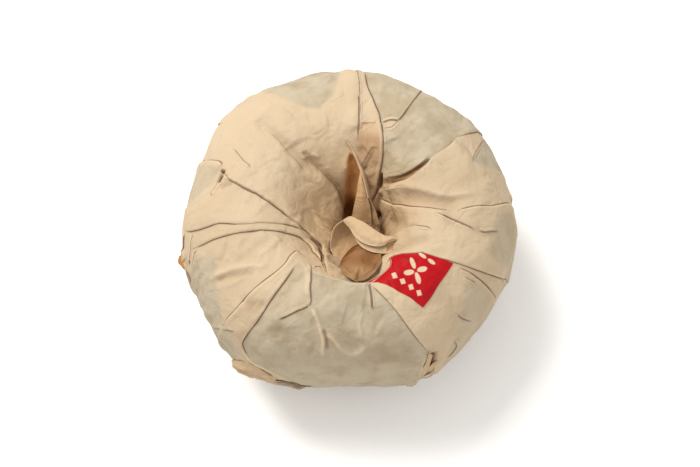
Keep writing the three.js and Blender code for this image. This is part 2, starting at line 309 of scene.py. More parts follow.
@dataclass
class Fold:
    """Folded paper that lies over its neighbour, with a loose lip along its edge."""

    side: Side
    rise: float
    reach: float
    way: Way
    gap: float = 0.22  # height of the lip's edge over the paper beneath
    roll: float = 0.9  # how far from the edge the paper bends down
    lip: float = 6.0  # width of the loose lip
    tone: float | None = 1.0  # number of layers, 0 for one, 1 for several, None as the paper round it
    line: float = 0.8  # darkness of the painted shadow line under the edge
    warm: float = 0.0  # brown painted shade on the lip, how much browner than its neighbours
    ends: float = 0.12
    laid: LaidWay | None = None

    @property
    def span(self) -> float:
        """How far from its edge the fold lifts the paper."""
        return 3.0 * self.reach

    def field(self, points: Array) -> Array:
        """Height of the raised paper's skin, which climbs under the lip.

        Args:
            points: Points (n, 3) of the smooth body.

        Returns:
            n heights.
        """
        distance, side, share = self.laid.measure(points, self.span)
        across = distance * side * self.side.value
        across = np.where(np.isfinite(across), across, -99.0)
        sink = np.exp(-((np.maximum(across, 0.0) / self.reach) ** 2))
        return self.rise * sink * run_out(share, self.ends) * smoothstep(across, 0.35, 1.5)


@dataclass
class Ridge:
    """A ridge (height above zero) or a crease (below zero) of the paper."""

    height: float
    width: float
    way: Way
    dark: float = 0.0  # darkness of the painted shade in its bottom
    deep: float = 0.0  # brown painted shade along it
    bright: float = 0.0  # lightness of the painted highlight on its crest
    sharp: bool = False
    ends: float = 0.12
    start: float = 0.0  # share of its way over which it widens
    finish: float = 0.0  # share of its way over which it narrows again
    laid: LaidWay | None = None

    @property
    def span(self) -> float:
        """How far from its crest the ridge lifts the paper."""
        return 3.2 * self.width

    def breadth(self, share: Array) -> Array:
        """Its width along its way.

        Args:
            share: Shares of the way.

        Returns:
            The width at each share.
        """
        grow = smoothstep(share, 0.0, self.start) if self.start else 1.0
        fall = smoothstep(1.0 - share, 0.0, self.finish) if self.finish else 1.0
        return self.width * (0.2 + 0.8 * grow * fall)

    def field(self, points: Array) -> Array:
        """Height of the ridge.

        Args:
            points: Points (n, 3) of the smooth body.

        Returns:
            n heights.
        """
        distance, _, share = self.laid.measure(points, self.span)
        if self.sharp:
            profile = np.maximum(0.0, 1.0 - distance / (1.4 * self.breadth(share))) ** 1.3
        else:
            profile = np.exp(-((distance / self.breadth(share)) ** 2))
        return self.height * profile * run_out(share, self.ends)


def fold(side: Side, rise: float, reach: float, *way: Place, **more: float) -> Fold:
    """A fold from its way's places."""
    return Fold(side, rise, reach, Way(way), **more)


def pleat(side: Side, line: float, *way: Place, **more: float) -> Fold:
    """A small flat pleat from its way's places."""
    sizes = {"gap": 0.04, "roll": 0.12, "lip": 1.5, "ends": 0.2, "tone": None, "rise": 0.12, **more}
    return Fold(side, way=Way(way), line=line, reach=2.2, **sizes)


def side_fold(side: Side, line: float, *way: Place) -> Fold:
    """A thin fold that runs down the side of the pack."""
    return pleat(side, line, *way, rise=0.3, gap=0.06, lip=3.0, ends=0.15)


def ridge(height: float, width: float, *way: Place, **more: float) -> Ridge:
    """A ridge or crease from its way's places."""
    return Ridge(height, width, Way(way), **more)


L, R = Side.LEFT, Side.RIGHT
BACK_EDGE = [(84.5, 2.3), (81.5, 2.7), (76, 2.88), (70.5, 2.98), (65.5, 3.14), (61, 3.3), (58, 3.5), (56, 3.62)]
RIGHT_EDGE = [(32, 2.72), (29.5, 2.86), (28.5, 3), (26.5, 3.11), (28, 3.27), (37, 3.41), (52, 3.54)]
SEAL_EDGE = [(299, 3.27), (308, 3.33), (317, 3.15), (323, 2.95), (327, 2.76), (331, 2.55), (336, 2.27), (341, 2)]
NEAR_EDGE = [(284, 2.99), (288.5, 2.87), (292, 2.73), (296, 2.45), (299, 2.24)]
STRIP_EDGE = [(232.5, 3.14), (235, 2.92), (235, 2.6), (233.5, 2.38), (233, 2.24), (236, 2.15), (244, 2.08),
    (253, 1.97)]

# a fold's line paints a shadow line under its edge; warm paints brown shade on its lip
FOLDS: dict[str, list[Fold]] = {
    "back_strip": [fold(R, 0.6, 9, *BACK_EDGE, roll=0.2, gap=0.07)],
    "back_layer": [fold(R, 0.3, 6, (61, 2.3), (59, 2.65), (59, 2.85), (60, 2.95), tone=0.3, roll=0.15, gap=0.04,
        lip=4)],
    "right_panel": [fold(L, 1.5, 9, *RIGHT_EDGE, gap=0.12, roll=0.2)],
    "right_hem": [fold(L, 0.35, 7, (350, 2.14), (358, 2.12), (3, 2.18), (3, 2.36), (358.5, 2.61), (356, 2.78),
        (353, 2.93), roll=0.14, gap=0.04, lip=4)],
    "right_pleat": [fold(L, 0.4, 5, (353, 2.92), (354.5, 3.11), (2.5, 3.35), (17, 3.51), (32, 3.61), (55, 3.67),
        roll=0.16, gap=0.05, lip=3.5)],
    "seal_cover": [fold(L, 0.4, 9, *SEAL_EDGE, roll=0.15, gap=0.04)],
    "seal_panel": [fold(L, 0.35, 8, *NEAR_EDGE, roll=0.15, line=0.55, gap=0.04)],
    "front_strip": [fold(R, 0.5, 6, *STRIP_EDGE, roll=0.15, gap=0.05, lip=4.5)],
    "front_strip_back": [fold(L, 0.35, 4, (221, 3.3), (224, 3.17), (228, 3), (226.5, 2.74), (225.5, 2.5),
        (223.5, 2.26), lip=2.6, roll=0.16, gap=0.05)],
    "left_strip": [fold(L, 0.5, 5, (194.5, 2.28), (196, 2.5), (198.5, 2.8), (201, 3), (203, 3.2), (204.5, 3.32),
        (207, 3.41), (212, 3.45), (219, 3.47), (227, 3.44), (238, 3.4), (248, 3.35), lip=4, roll=0.16, gap=0.05)],
    "left_strip_back": [fold(L, 0.45, 6, (185.5, 2.24), (189.5, 2.46), (191.5, 2.72), (196, 2.93), (197, 3.15),
        (196, 3.36), (199, 3.47), lip=4, roll=0.16, gap=0.05)],
    "left_panel": [fold(L, 0.7, 9, (168, 2.735), (170, 2.79), (172, 2.86), (175, 2.96), (181.5, 3.2), (190.5, 3.36),
        (197.5, 3.49), (207.5, 3.55), (214, 3.59), (222, 3.6), (234, 3.51), (242, 3.41), (249, 3.32), (257, 3.19),
        ends=0.06, roll=0.18, gap=0.06)],
    "left_corner": [fold(R, 0.5, 4, (159.8, 2.12), (158.4, 2.26), (159.4, 2.4), (160, 2.54), (160.7, 2.61),
        (162.4, 2.67), lip=3, roll=0.15, gap=0.1, line=1)],
    "panel_crease": [fold(R, 0.55, 6, (136, 2.78), (137, 2.97), (137.5, 3.16), (137, 3.33), (136.5, 3.42), roll=0.5,
        line=0.3, gap=0.05, ends=0.4, lip=3, tone=None)],
    "back_panel": [fold(R, 0.9, 6, (130, 3.24), (125, 3.38), (118.5, 3.52), (111.5, 3.64), (108.5, 3.77),
        (109, 3.93), roll=0.4, line=0.4, gap=0.15, ends=0.4)],
    "back_pleats": [
        pleat(L, 0.75, (87, 2.4), (86, 2.6), (84, 2.9), (83.5, 3.1), (85, 3.27)),
        pleat(L, 0.3, (83.5, 3.1), (78, 3.08), (71.5, 3.05), ends=0.1),
        pleat(R, 0.7, (59.5, 2.94), (64, 2.96), (68, 3), tone=1, ends=0.1),
        pleat(L, 0.5, (59.5, 2.94), (62, 3.01), (66, 3.06), tone=1, ends=0.1),
        pleat(R, 0.7, (81.5, 3.46), (76, 3.38), (69.5, 3.23)),
        pleat(R, 0.5, (81.5, 3.51), (77, 3.47), (71.5, 3.42)),
        pleat(L, 0.6, (67, 3.1), (63.5, 3.2), (61, 3.3), tone=0.4),
        pleat(R, 0.4, (79.5, 3.52), (74.5, 3.47), (67.5, 3.42), (63.5, 3.39), lip=1),
    ],
    "right_pleats": [
        pleat(L, 0.6, (54.5, 3.44), (46.5, 3.44), (36, 3.34), (30.5, 3.19), (30, 3.05), (30.5, 2.97), rise=0.3,
            gap=0.12, ends=0.4, tone=0.15),
        pleat(R, 0.9, (5, 3.38), (356, 3.23), (351, 3.06), (348.5, 2.95), (346.4, 2.8), (346.3, 2.7)),
        pleat(L, 0.6, (346, 2.69), (346.5, 2.63), (348, 2.57), (349.5, 2.49)),
        pleat(R, 0.45, (52, 3.57), (37, 3.46), (22, 3.31)),
        pleat(R, 0.8, (339.5, 3.56), (340, 3.43), (341, 3.31), (340, 3.17), (339, 3.05), rise=0.3),
        pleat(L, 0.5, (30.5, 2.34), (24.5, 2.57), (18.5, 2.72), lip=1.1),
    ],
    "seal_side_pleats": [
        pleat(R, 0.8, (327, 2.68), (328.5, 2.57), (329.5, 2.44), (331, 2.24), (333, 2), ends=0.08),
        pleat(R, 0.45, (325.5, 2.61), (326.5, 2.53), (327.5, 2.46), rise=0.08),
        pleat(L, 0.6, (314, 2.41), (315, 2.33), (316.5, 2.26), (318.5, 2.17)),
        pleat(R, 1, (338.5, 2.14), (340.3, 2.04), (341, 1.96), rise=0.4, gap=0.15),
        pleat(R, 0.9, (300, 2.27), (296.5, 2.15), (295, 2), (292.5, 1.86), (287, 1.84), rise=0.4),
        pleat(L, 0.6, (309, 2.2), (309.5, 2.08), (305, 2), rise=0.3),
    ],
    "near_pleats": [
        pleat(L, 0.85, (282.5, 3.02), (282.5, 2.91), (281.5, 2.75), rise=0.06, lip=1.2),
        pleat(R, 0.7, (241, 3.38), (251.5, 3.27), (261.5, 3.14), (270.5, 3.04), (278.5, 3.03), (284, 3.07),
            rise=0.35, gap=0.12, ends=0.15),
        pleat(R, 0.6, (238, 3.25), (243.5, 3.13), (248, 2.97), (251.5, 2.86), (252, 2.79), ends=0.1),
        pleat(R, 0.75, (251.8, 2.8), (249.5, 2.765), (247, 2.73), (241.5, 2.62), ends=0.12),
        pleat(L, 0.35, (242.5, 3.19), (243.5, 3.27), (250, 3.3), (256, 3.2)),
    ],
    "side_folds_right": [
        side_fold(R, 0.6, (90, 1.3), (88, 1.75), (85.5, 2.2), (84.5, 2.4)),
        side_fold(R, 0.45, (64, 1.35), (62.5, 1.7), (61.5, 2.05), (61, 2.35)),
        side_fold(L, 0.5, (32, 2.74), (33, 2.4), (35, 2), (34, 1.6), (37, 1.3)),
        side_fold(R, 0.45, (12, 1.28), (9, 1.6), (10, 1.95), (7.5, 2.25)),
        side_fold(L, 0.6, (341, 2.04), (343.5, 1.8), (344, 1.55), (347, 1.27)),
        side_fold(R, 0.5, (322, 1.25), (320, 1.55), (322.5, 1.85)),
        side_fold(L, 0.6, (300.5, 1.98), (302, 1.7), (301, 1.45), (303, 1.2)),
    ],
    "side_folds_left": [
        side_fold(R, 0.45, (276, 1.2), (274, 1.45), (276.5, 1.75)),
        side_fold(L, 0.5, (252, 1.8), (250, 1.6), (252, 1.4), (250, 1.2)),
        side_fold(R, 0.55, (224, 1.22), (225, 1.5), (223, 1.78), (222.5, 2.05), (223.5, 2.3)),
        side_fold(L, 0.5, (207, 1.28), (205, 1.6), (206.5, 1.9)),
        side_fold(L, 0.6, (191, 1.25), (193, 1.55), (192.5, 1.85), (194, 2.2)),
        side_fold(R, 0.45, (172, 1.3), (174.5, 1.6), (173, 1.95), (175, 2.2)),
        side_fold(R, 0.6, (163, 1.25), (161, 1.55), (161.5, 1.85), (159.8, 2.2)),
        side_fold(L, 0.5, (141, 1.25), (143, 1.6), (141.5, 2), (142.5, 2.4)),
        side_fold(R, 0.5, (129, 1.3), (127, 1.65), (127.5, 2), (124.5, 2.4)),
        side_fold(L, 0.45, (106, 1.25), (108, 1.6), (106.5, 2), (107.5, 2.3)),
    ],
    "strip_pleats": [
        pleat(L, 0.9, (233.5, 2.15), (236, 2.13), (239, 2.11), (246, 2.05), (252, 1.97), tone=0.35, ends=0.1),
        pleat(R, 1.3, (243, 1.97), (249, 1.95), (254, 1.91), (258, 1.87), rise=0.4, gap=0.3),
        pleat(L, 0.35, (217, 1.98), (224.5, 2.22), (229.5, 2.34)),
    ],
    "left_pleats": [
        pleat(L, 1, (165.5, 2.675), (168.5, 2.69), (173, 2.67), (177, 2.63), rise=0.3, ends=0.08, gap=0.12),
        pleat(R, 0.6, (164.5, 2.64), (166.5, 2.71), (169.5, 2.78), rise=0.3),
        pleat(R, 0.5, (152.5, 2.69), (156.5, 2.8), (159.5, 2.88), (161, 2.93)),
        pleat(R, 0.9, (186.5, 2.26), (189, 2.17), (191, 2.04), rise=0.3, warm=0.3),
        pleat(R, 0.8, (189.5, 2.42), (195, 2.3), (197, 2.15), rise=0.3),
        pleat(L, 0.9, (190, 2.4), (194.5, 2.29), (196, 2.2), ends=0.15),
        pleat(L, 0.9, (195.5, 2.4), (198.5, 2.28), (201, 2.19), (203.5, 2.13), (205.5, 2.11), ends=0.1),
        pleat(R, 0.4, (184.5, 3.63), (187.5, 3.69)),
        pleat(R, 0.35, (164.5, 3.62), (168, 3.73), (171, 3.78)),
    ],
}

# dark and deep paint shade along a ridge, and bright paints a highlight on its crest
RIDGES = [
    # the back strip: its pocket, root, wrinkles and gaps
    ridge(-1.7, 1.7, (90.5, 3.35), (90, 3.41), (88.5, 3.48), (89, 3.57), (92, 3.67), (97.5, 3.8), (103, 3.93),
        (106, 4.05), start=0.4),
    ridge(-0.9, 0.8, (51, 3.6), (47, 3.72), (38, 3.85), deep=0.6),
    ridge(1.6, 2.4, (72, 3.62), (60, 3.74), (50, 3.82), ends=0.3),
    ridge(0.4, 0.75, (80.5, 3.47), (76, 3.38), (72.5, 3.3), (71, 3.24)),
    ridge(-0.25, 0.6, (78, 3.49), (73, 3.4), (69.5, 3.31), (69, 3.26), deep=0.12),
    ridge(-0.6, 1.2, (84, 3.36), (80, 3.33), (77, 3.3), deep=0.25),
    ridge(0.3, 0.7, (79.5, 3.56), (74.5, 3.52), (67.5, 3.47), (63.5, 3.44)),
    ridge(-1.1, 0.65, (57, 3.44), (55.5, 3.51), (54, 3.58), deep=0.9, dark=0.8, start=0.6),
    ridge(-0.7, 0.4, (55.5, 3.56), (56, 3.62), (57.5, 3.7), deep=0.8, dark=0.7),
    ridge(-1.2, 0.55, (67, 3.69), (58, 3.75), (47, 3.82), (37, 3.93), deep=0.9, dark=0.85, finish=0.5),
    # the right side: its wedge, hollows, fold and valleys
    ridge(-0.9, 1, (54, 3.49), (46, 3.49), (37, 3.39), (30.5, 3.26), (28.5, 3.12), (29, 2.98), deep=0.3, start=0.15,
        finish=0.6),
    ridge(0.35, 0.8, (64, 3.12), (61, 3.19), (55, 3.25), (48, 3.27), sharp=True),
    ridge(-0.5, 2, (58, 3.12), (52, 3.18), (45, 3.16)),
    ridge(0.7, 1, (47, 3.54), (32, 3.43), (18.5, 3.3), (7, 3.14), (1.5, 2.97), (2, 2.9), (3.5, 2.7), bright=0.3),
    ridge(-0.7, 1.8, (19.5, 3.46), (12.5, 3.36), (5, 3.24), (0, 3.12), (357.5, 2.99), (0.5, 2.9), deep=0.2),
    ridge(-0.5, 1, (338, 3.64), (340, 3.5), (341.5, 3.36), (341, 3.24), deep=0.25),
    ridge(-0.5, 1.6, (14, 3.75), (356, 3.55), (343, 3.4), dark=0.1),
    ridge(-0.45, 1.2, (349, 3), (345, 2.8), (347, 2.5), dark=0.1),
    ridge(0.9, 2.6, (335, 3.75), (333, 3.5), (337, 3.2)),
    ridge(-0.5, 1.1, (308, 3.58), (316, 3.4), (324, 3.24), (334, 3), deep=0.22),
    # the back panel: its valleys, fold and hook
    ridge(-0.6, 2.2, (136, 2.75), (137, 3), (138, 3.2), (136, 3.4)),
    ridge(0.6, 4, (128, 2.7), (129, 3), (130, 3.15)),
    ridge(-1, 1.05, (129.5, 3.21), (128, 3.28), (126, 3.37), (122.5, 3.45), (116.5, 3.55), (109, 3.67), (107, 3.82),
        deep=0.3, start=0.2),
    ridge(0.5, 0.6, (133, 3.28), (128.5, 3.27), (123, 3.29), (119, 3.34), bright=0.5, sharp=True),
    ridge(0.5, 1.6, (90, 2.3), (87, 2.8), (86, 3.2)),
    # the grey front panel: its facets, crests and dents, and the seat of the brim
    ridge(0.6, 0.75, (252.5, 2.8), (256.5, 2.7), (259.5, 2.57), (261, 2.46), (260.5, 2.3), bright=0.75, sharp=True),
    ridge(0.25, 0.9, (238, 3.16), (241, 3.1), (245.5, 2.98), (249.5, 2.86), bright=0.45),
    ridge(-0.35, 0.45, (260.2, 2.6), (262, 2.5), (262.6, 2.4), dark=0.5),
    ridge(0.25, 0.55, (277.5, 2.75), (275, 2.63), (276.5, 2.5), bright=0.4, sharp=True),
    ridge(-0.5, 2.6, (246, 2.6), (250, 2.42), (251, 2.2)),
    ridge(0.5, 0.75, (261, 2.54), (264, 2.52), (268, 2.41), (272.5, 2.35), (278.5, 2.46), bright=0.6, sharp=True),
    ridge(-0.5, 3.2, (268, 2.75), (276, 2.7), (284, 2.6)),
    ridge(0.5, 4, (262, 2.95), (272, 2.92), (280, 2.9)),
    ridge(-1.6, 3, (246, 3.38), (256, 3.28), (266, 3.2), (278, 3.18), (288, 3.24), (297, 3.38), ends=0.15),
    ridge(-2, 3, (246, 3.6), (262, 3.5), (280, 3.5), (297, 3.6), ends=0.2),
    # the left panel: the gap under it, its wrinkles and dents, and the pocket at its corner
    ridge(-1.3, 0.55, (204, 3.5), (208, 3.53), (214, 3.57), (221, 3.59), (232, 3.51), (241, 3.4), (247, 3.33),
        dark=1, deep=0.8, start=0.4, finish=0.4),
    ridge(0.6, 0.85, (209, 2.38), (210.5, 2.53), (214.3, 2.73), (218, 2.85), (223, 2.92), bright=0.35),
    ridge(0.35, 1.3, (200.5, 2.74), (207.5, 2.57), (213, 2.55)),
    ridge(0.4, 1.5, (203, 3.05), (208, 2.88), (209.5, 2.75)),
    ridge(-0.4, 0.7, (211.5, 2.46), (214.3, 2.6), (217.5, 2.72), (221.5, 2.82), deep=0.18),
    ridge(-0.35, 0.9, (201, 2.73), (204.5, 2.66), (207.5, 2.58), deep=0.1),
    ridge(0.35, 0.9, (214, 2.9), (212.5, 3.05), (207.5, 3.18), bright=0.2),
    ridge(-0.4, 2.4, (203, 2.85), (212, 2.95), (218, 3.1)),
    ridge(-0.5, 1.3, (225.5, 2.57), (230, 2.63), (234.5, 2.7), dark=0.16),
    ridge(-1, 0.55, (164, 2.65), (166, 2.69), (168.5, 2.69), (171.5, 2.675), dark=1, deep=0.9, start=0.3),
    ridge(-0.3, 0.8, (174, 2.72), (172, 2.76), (171.3, 2.82), deep=0.3),
    # paper bunched under the folds and under the loose ends at the edge
    ridge(3.8, 5, (112, 3.98), (135, 3.9), (165, 3.85), (190, 3.8), (215, 3.78), (240, 3.75), ends=0.2),
    ridge(1, 2, (303, 2.12), (297, 2), (290, 1.86)),
    ridge(0.7, 1.6, (190, 2.15), (196, 2.04), (206, 2)),
    ridge(0.9, 1.1, (228, 1.92), (237, 1.9), (246, 1.9), (256, 1.86), deep=0.25),
    ridge(-1.2, 0.6, (243, 1.95), (249, 1.93), (254, 1.89), (258, 1.85), dark=1, deep=1, start=0.3, finish=0.3),
    ridge(-0.5, 0.3, (233.5, 2.14), (236, 2.11), (239, 2.09), (242, 2.06), (246, 2.03), dark=0.9, finish=0.5),
    ridge(-0.5, 0.4, (195.5, 2.04), (198.5, 2.05), (201.5, 2.04), dark=0.95, deep=0.6, start=0.4, finish=0.4),
    ridge(-0.6, 0.5, (203, 2.11), (206, 2.08), (209, 2.07), dark=1, deep=0.5, start=0.4, finish=0.4),
    ridge(-0.8, 0.9, (301, 2.23), (299, 2.14), (297.5, 2.05), (296, 1.97), (295, 1.9), dark=0.9, deep=0.8),
]


@dataclass
class PaperRelief:
    """All that lifts the paper off the smooth body: folds, ridges, gathers and random creases."""

    form: PackForm
    folds: dict[str, list[Fold]]
    ridges: list[Ridge]
    crease_count: int = 380
    crumple_height: float = 0.2
    seed: int = 71
    lines: list[Fold | Ridge] = field(default_factory=list)
    grains: dict[str, Grain] = field(default_factory=dict)

    def __post_init__(self) -> None:
        """Lays every fold, ridge and random crease on the body."""
        self.lines = [*(item for group in self.folds.values() for item in group), *self.ridges]
        for item in self.lines:
            item.laid = item.way.lay(self.form)
        sizes = {"warp_x": (0, 9.0), "warp_y": (1, 9.0), "warp_z": (2, 9.0), "patch": (3, 14.0), "fine": (5, 2.2)}
        self.grains = {name: Grain(self.seed + shift, size) for name, (shift, size) in sizes.items()}
        self.lines += self.random_creases()

    def random_creases(self) -> list[Ridge]:
        """Short creases of handled paper, mostly running towards the hollow.

        Returns:
            The creases, laid on the body.
        """
        rng = np.random.default_rng(self.seed)
        made = []
        for _ in range(self.crease_count):
            bearing, station = rng.uniform(0, 360), 1.15 + 2.7 * rng.uniform() ** 0.8
            radius = float(self.form.section(np.array(station))[0])
            length = rng.uniform(3.0, 13.0)
            turn = rng.normal(0.0, 0.55 if station > 2.7 else 0.9)
            across = math.degrees(length * math.sin(turn) / max(radius, 6.0)) / 2
            along = length * math.cos(turn) / 33.0 / 2
            bend = rng.normal(0.0, 0.12)
            height = rng.choice([-1.0, 1.0]) * rng.uniform(0.05, 0.28)
            width = rng.uniform(0.45, 1.2)
            middle = (bearing + bend * 12, station + bend * 0.2)
            ends = (bearing - across, station - along), (bearing + across, min(station + along, 4.1))
            made.append(ridge(height, width, ends[0], middle, ends[1], sharp=True, ends=0.4))
            made[-1].laid = made[-1].way.lay(self.form, 7)
        return made

    def crumple(self, points: Array) -> Array:
        """Faceted unevenness of handled paper, stronger in some patches than in others.

        Args:
            points: Points (n, 3).

        Returns:
            n heights.
        """
        warp = np.stack([self.grains[f"warp_{axis}"].at(points) for axis in "xyz"], axis=-1)
        place = points + 3.0 * warp
        waves = [((0.8, 0.5, 0.3), 9.0), ((-0.5, 0.75, 0.4), 7.0), ((0.2, -0.6, 0.8), 11.0), ((0.9, -0.3, -0.3), 6.0)]
        total = np.zeros(len(points))
        for direction, pitch in waves:
            turn = place @ np.array(direction) / pitch
            total += np.abs(turn - np.floor(turn + 0.5)) * 2.0 - 0.5
        patch = 0.35 + 0.65 * smoothstep(self.grains["patch"].at(points), -0.4, 0.5)
        return self.crumple_height * total * patch

    def unevenness(self, points: Array, bearing: Array, station: Array) -> Array:
        """Slow swell between the folds, crumples, and fine pleats that run together into the throat.

        Args:
            points: Points (n, 3) of the smooth body.
            bearing: Their bearings.
            station: Their stations.

        Returns:
            n heights.
        """
        x, y, z = points.T
        first = np.sin(0.31 * x + 0.17 * y + 1.3) * np.sin(0.23 * y - 0.29 * z)
        second = np.sin(0.52 * x - 0.44 * y + 0.6) * np.cos(0.47 * z + 0.21 * x)
        swell = 0.22 * (first + 0.6 * second)
        angle = np.radians(bearing)
        pleats = np.sin(23 * angle + 2.0 * np.sin(3 * angle)) + 0.6 * np.sin(41 * angle + 1.0)
        gathers = 0.13 * pleats * smoothstep(station, 3.45, 4.0)
        return swell + self.crumple(points) + gathers + 0.05 * self.grains["fine"].at(points)

    def level(self, points: Array, bearing: Array, station: Array, skip: Fold | None = None) -> Array:
        """Height of the paper over the smooth body.

        Args:
            points: Points (n, 3) of the smooth body.
            bearing: Their bearings.
            station: Their stations.
            skip: A fold that is left out.

        Returns:
            Heights in millimetres.
        """
        total = self.unevenness(points, bearing, station)
        low, high = points.min(0), points.max(0)
        for item in self.lines:
            if item is not skip and item.laid.reaches(low, high, item.span):
                total += item.field(points)
        return total * self.form.shut(station)


# ---- tones of the paper ----


class Tone(Enum):
    """What a field tints; each value is the name of a mesh attribute."""

    LAYERS = "layers"  # 0 for a single layer, which the tea shows through, and 1 for several
    # WARM and DEEP are painted shade: a warm tan and a deep brown
    WARM = "warm"
    DEEP = "deep"
    GLOW = "glow"  # painted light, where light would come through the paper


@dataclass
class ToneField:
    """A field of one tone, with a soft border."""

    tone: float
    soft: float
    outline: Way
    laid: LaidWay | None = None

    def lay(self, form: PackForm) -> None:
        """Lays its outline on the body.

        Args:
            form: The body.
        """
        places = Way((*self.outline.places, self.outline.places[0])).unwrapped()
        dense = np.vstack([a + (b - a) * t for a, b in zip(places, places[1:]) for t in np.linspace(0, 1, 8)])
        self.laid = LaidWay.over(form, dense)

    def cover(self, points: Array, bearing: Array, station: Array) -> Array:
        """How far points are inside the field.

        Args:
            points: Points (n, 3) of the smooth body.
            bearing: Their bearings.
            station: Their stations.

        Returns:
            1 inside, 0 outside, and between them along the border.
        """
        corners = self.outline.unwrapped()
        bearing = bearing - 360 * np.round((bearing - corners[:, 0].mean()) / 360)
        inside = np.zeros(len(points), bool)
        for (b0, s0), (b1, s1) in zip(corners, np.roll(corners, -1, axis=0)):
            crossing = b0 + (b1 - b0) * (station - s0) / (s1 - s0 if s1 != s0 else 1e-9)
            inside ^= ((s0 > station) != (s1 > station)) & (bearing < crossing)
        distance, _, _ = self.laid.measure(points, 4.0 * self.soft + 1.0)
        return smoothstep(np.where(inside, 1.0, -1.0) * np.minimum(distance, 1e3), -self.soft, self.soft)


def tint(tone: float, soft: float, *outline: Place) -> ToneField:
    """A field from its outline's places."""
    return ToneField(tone, soft, Way(outline))


FIELDS: dict[Tone, list[ToneField]] = {
    Tone.LAYERS: [  # front panel and its facet, far and right patches, back layer, right wall, left corner and wall
        tint(0, 0.35, *STRIP_EDGE[:6], (240, 2.05), (256, 1.7), (290, 1.7), (299, 2.02), *NEAR_EDGE[::-1],
            (272, 3.07), (250, 3.12)),
        tint(0.45, 0.4, (232, 3.14), (235, 2.9), (235, 2.6), (244, 2.69), (251.5, 2.82), (249, 2.96), (243, 3.12)),
        tint(0.1, 1.4, (128, 1.5), (124, 2.2), (123.5, 2.5), (119, 2.76), (113, 2.88), (106, 2.93), (97, 2.84),
            (93, 2.6), (93, 1.5)),
        tint(0, 0.35, *BACK_EDGE, (44, 3.5), *RIGHT_EDGE[-2::-1], (33, 2.3), (40, 1.7), (84, 1.7)),
        tint(0.32, 0.35, (84, 1.9), *BACK_EDGE[:4], (63, 3.05), (59.5, 2.94), (59, 2.66), (61, 2.3), (64, 1.9)),
        tint(1, 0.25, (68, 3), (64, 2.96), (59.5, 2.94), (62, 3.01), (66, 3.06)),
        tint(0.1, 0.3, (33, 2.1), (30.5, 2.36), (24.5, 2.57), (18.5, 2.72), (16.5, 2.62), (17.5, 2.1)),
        tint(0.42, 1.6, (354, 1.8), (1, 2.35), (357, 2.56), (348, 2.6), (339, 2.58), (337, 2.2), (336, 1.8)),
        tint(0.45, 1, (333, 1.8), (331, 2.2), (328, 2.5), (323, 2.58), (314, 2.35), (312, 1.8)),
        tint(0.5, 1.6, (320, 1.7), (318, 2.2), (311, 2.28), (305, 2.1), (303, 1.7)),
        tint(0.4, 0.8, (153, 1.5), (159.5, 2.5), (164, 2.66), (172, 2.62), (177, 2.4), (183, 1.5)),
        tint(0.3, 0.4, (216, 1.9), (217.5, 2.1), (226, 2.3), (230.5, 2.36), (233.6, 2.12), (229, 1.88)),
        tint(0.2, 2.4, (196, 1.8), (198, 2.35), (204, 2.62), (214, 2.45), (226, 2.25), (231, 1.8)),
    ],
    Tone.WARM: [  # painted warm shade: wedge at the right, and the roots of the strip, the panels and the gathers
        tint(0.7, 0.5, (56, 3.45), (46, 3.45), (36, 3.35), (29, 3.1), (27, 3.2), (30, 3.34), (38, 3.45),
            (54, 3.58)),
        tint(0.42, 0.5, (84, 3.1), (71.5, 3.05), (63, 3.26), (57, 3.56), (45, 3.9), (70, 3.8), (82, 3.5)),
        tint(0.55, 1, (50.5, 3.69), (22.5, 3.57), (3.5, 3.45), (348.5, 3.34), (1, 3.61), (34.5, 3.89)),
        tint(0.15, 3, (140, 3.5), (112, 3.6), (104, 3.95), (140, 4), (180, 3.8), (165, 3.6)),
        tint(0.3, 2, (46, 3.55), (20, 3.45), (350, 3.55), (330, 3.7), (330, 4.1), (40, 4.1)),
        tint(0.35, 1.5, (205, 3.4), (235, 3.32), (258, 3.2), (280, 3.25), (280, 4), (205, 4)),
    ],
    Tone.DEEP: [  # painted deep brown shade on the strip, in the pocket, by the creases and on the panels
        tint(0.42, 1.5, (88.5, 3.22), (64.5, 3.14), (62, 3.26), (60.5, 3.43), (56.5, 3.6), (48.5, 3.75), (67, 3.8),
            (79, 3.6), (84, 3.44)),
        tint(0.75, 1.7, (105, 3.73), (109.5, 3.85), (107, 4.2), (92, 4.2), (86, 3.84), (84, 3.76)),
        tint(0.12, 2.5, (280.5, 2.64), (292, 2.63), (293, 2.4), (287.5, 2.16), (279, 2.29)),
        tint(0.24, 0.9, (135, 2.84), (137, 2.97), (137.5, 3.16), (137, 3.36), (131, 3.4), (130, 3.3), (131.5, 3.15),
            (133.5, 2.98)),
        tint(0.16, 0.8, (226.5, 2.5), (227, 2.65), (234.5, 2.73), (234, 2.61)),
        tint(0.18, 0.7, (229, 2.3), (234.3, 2.5), (234, 2.28)),
        tint(0.08, 2.2, (124, 3.22), (117, 3.4), (112, 3.6), (108, 3.95), (96, 3.8), (94, 3.5), (105, 3.3)),
        tint(0.1, 4, (238, 2.55), (250, 2.4), (262, 2.25), (285, 2.25), (292, 2.4), (284, 2.6), (262, 2.6)),
    ],
    Tone.GLOW: [  # painted light in the pocket behind the fin, where light would come through the paper
        tint(0.95, 0.8, (91, 3.32), (95.5, 3.43), (98, 3.53), (103, 3.66), (109.5, 3.85), (108, 4.2), (92, 4.2),
            (84, 3.76), (79, 3.58), (79, 3.51), (85, 3.42), (89, 3.35)),
    ],
}


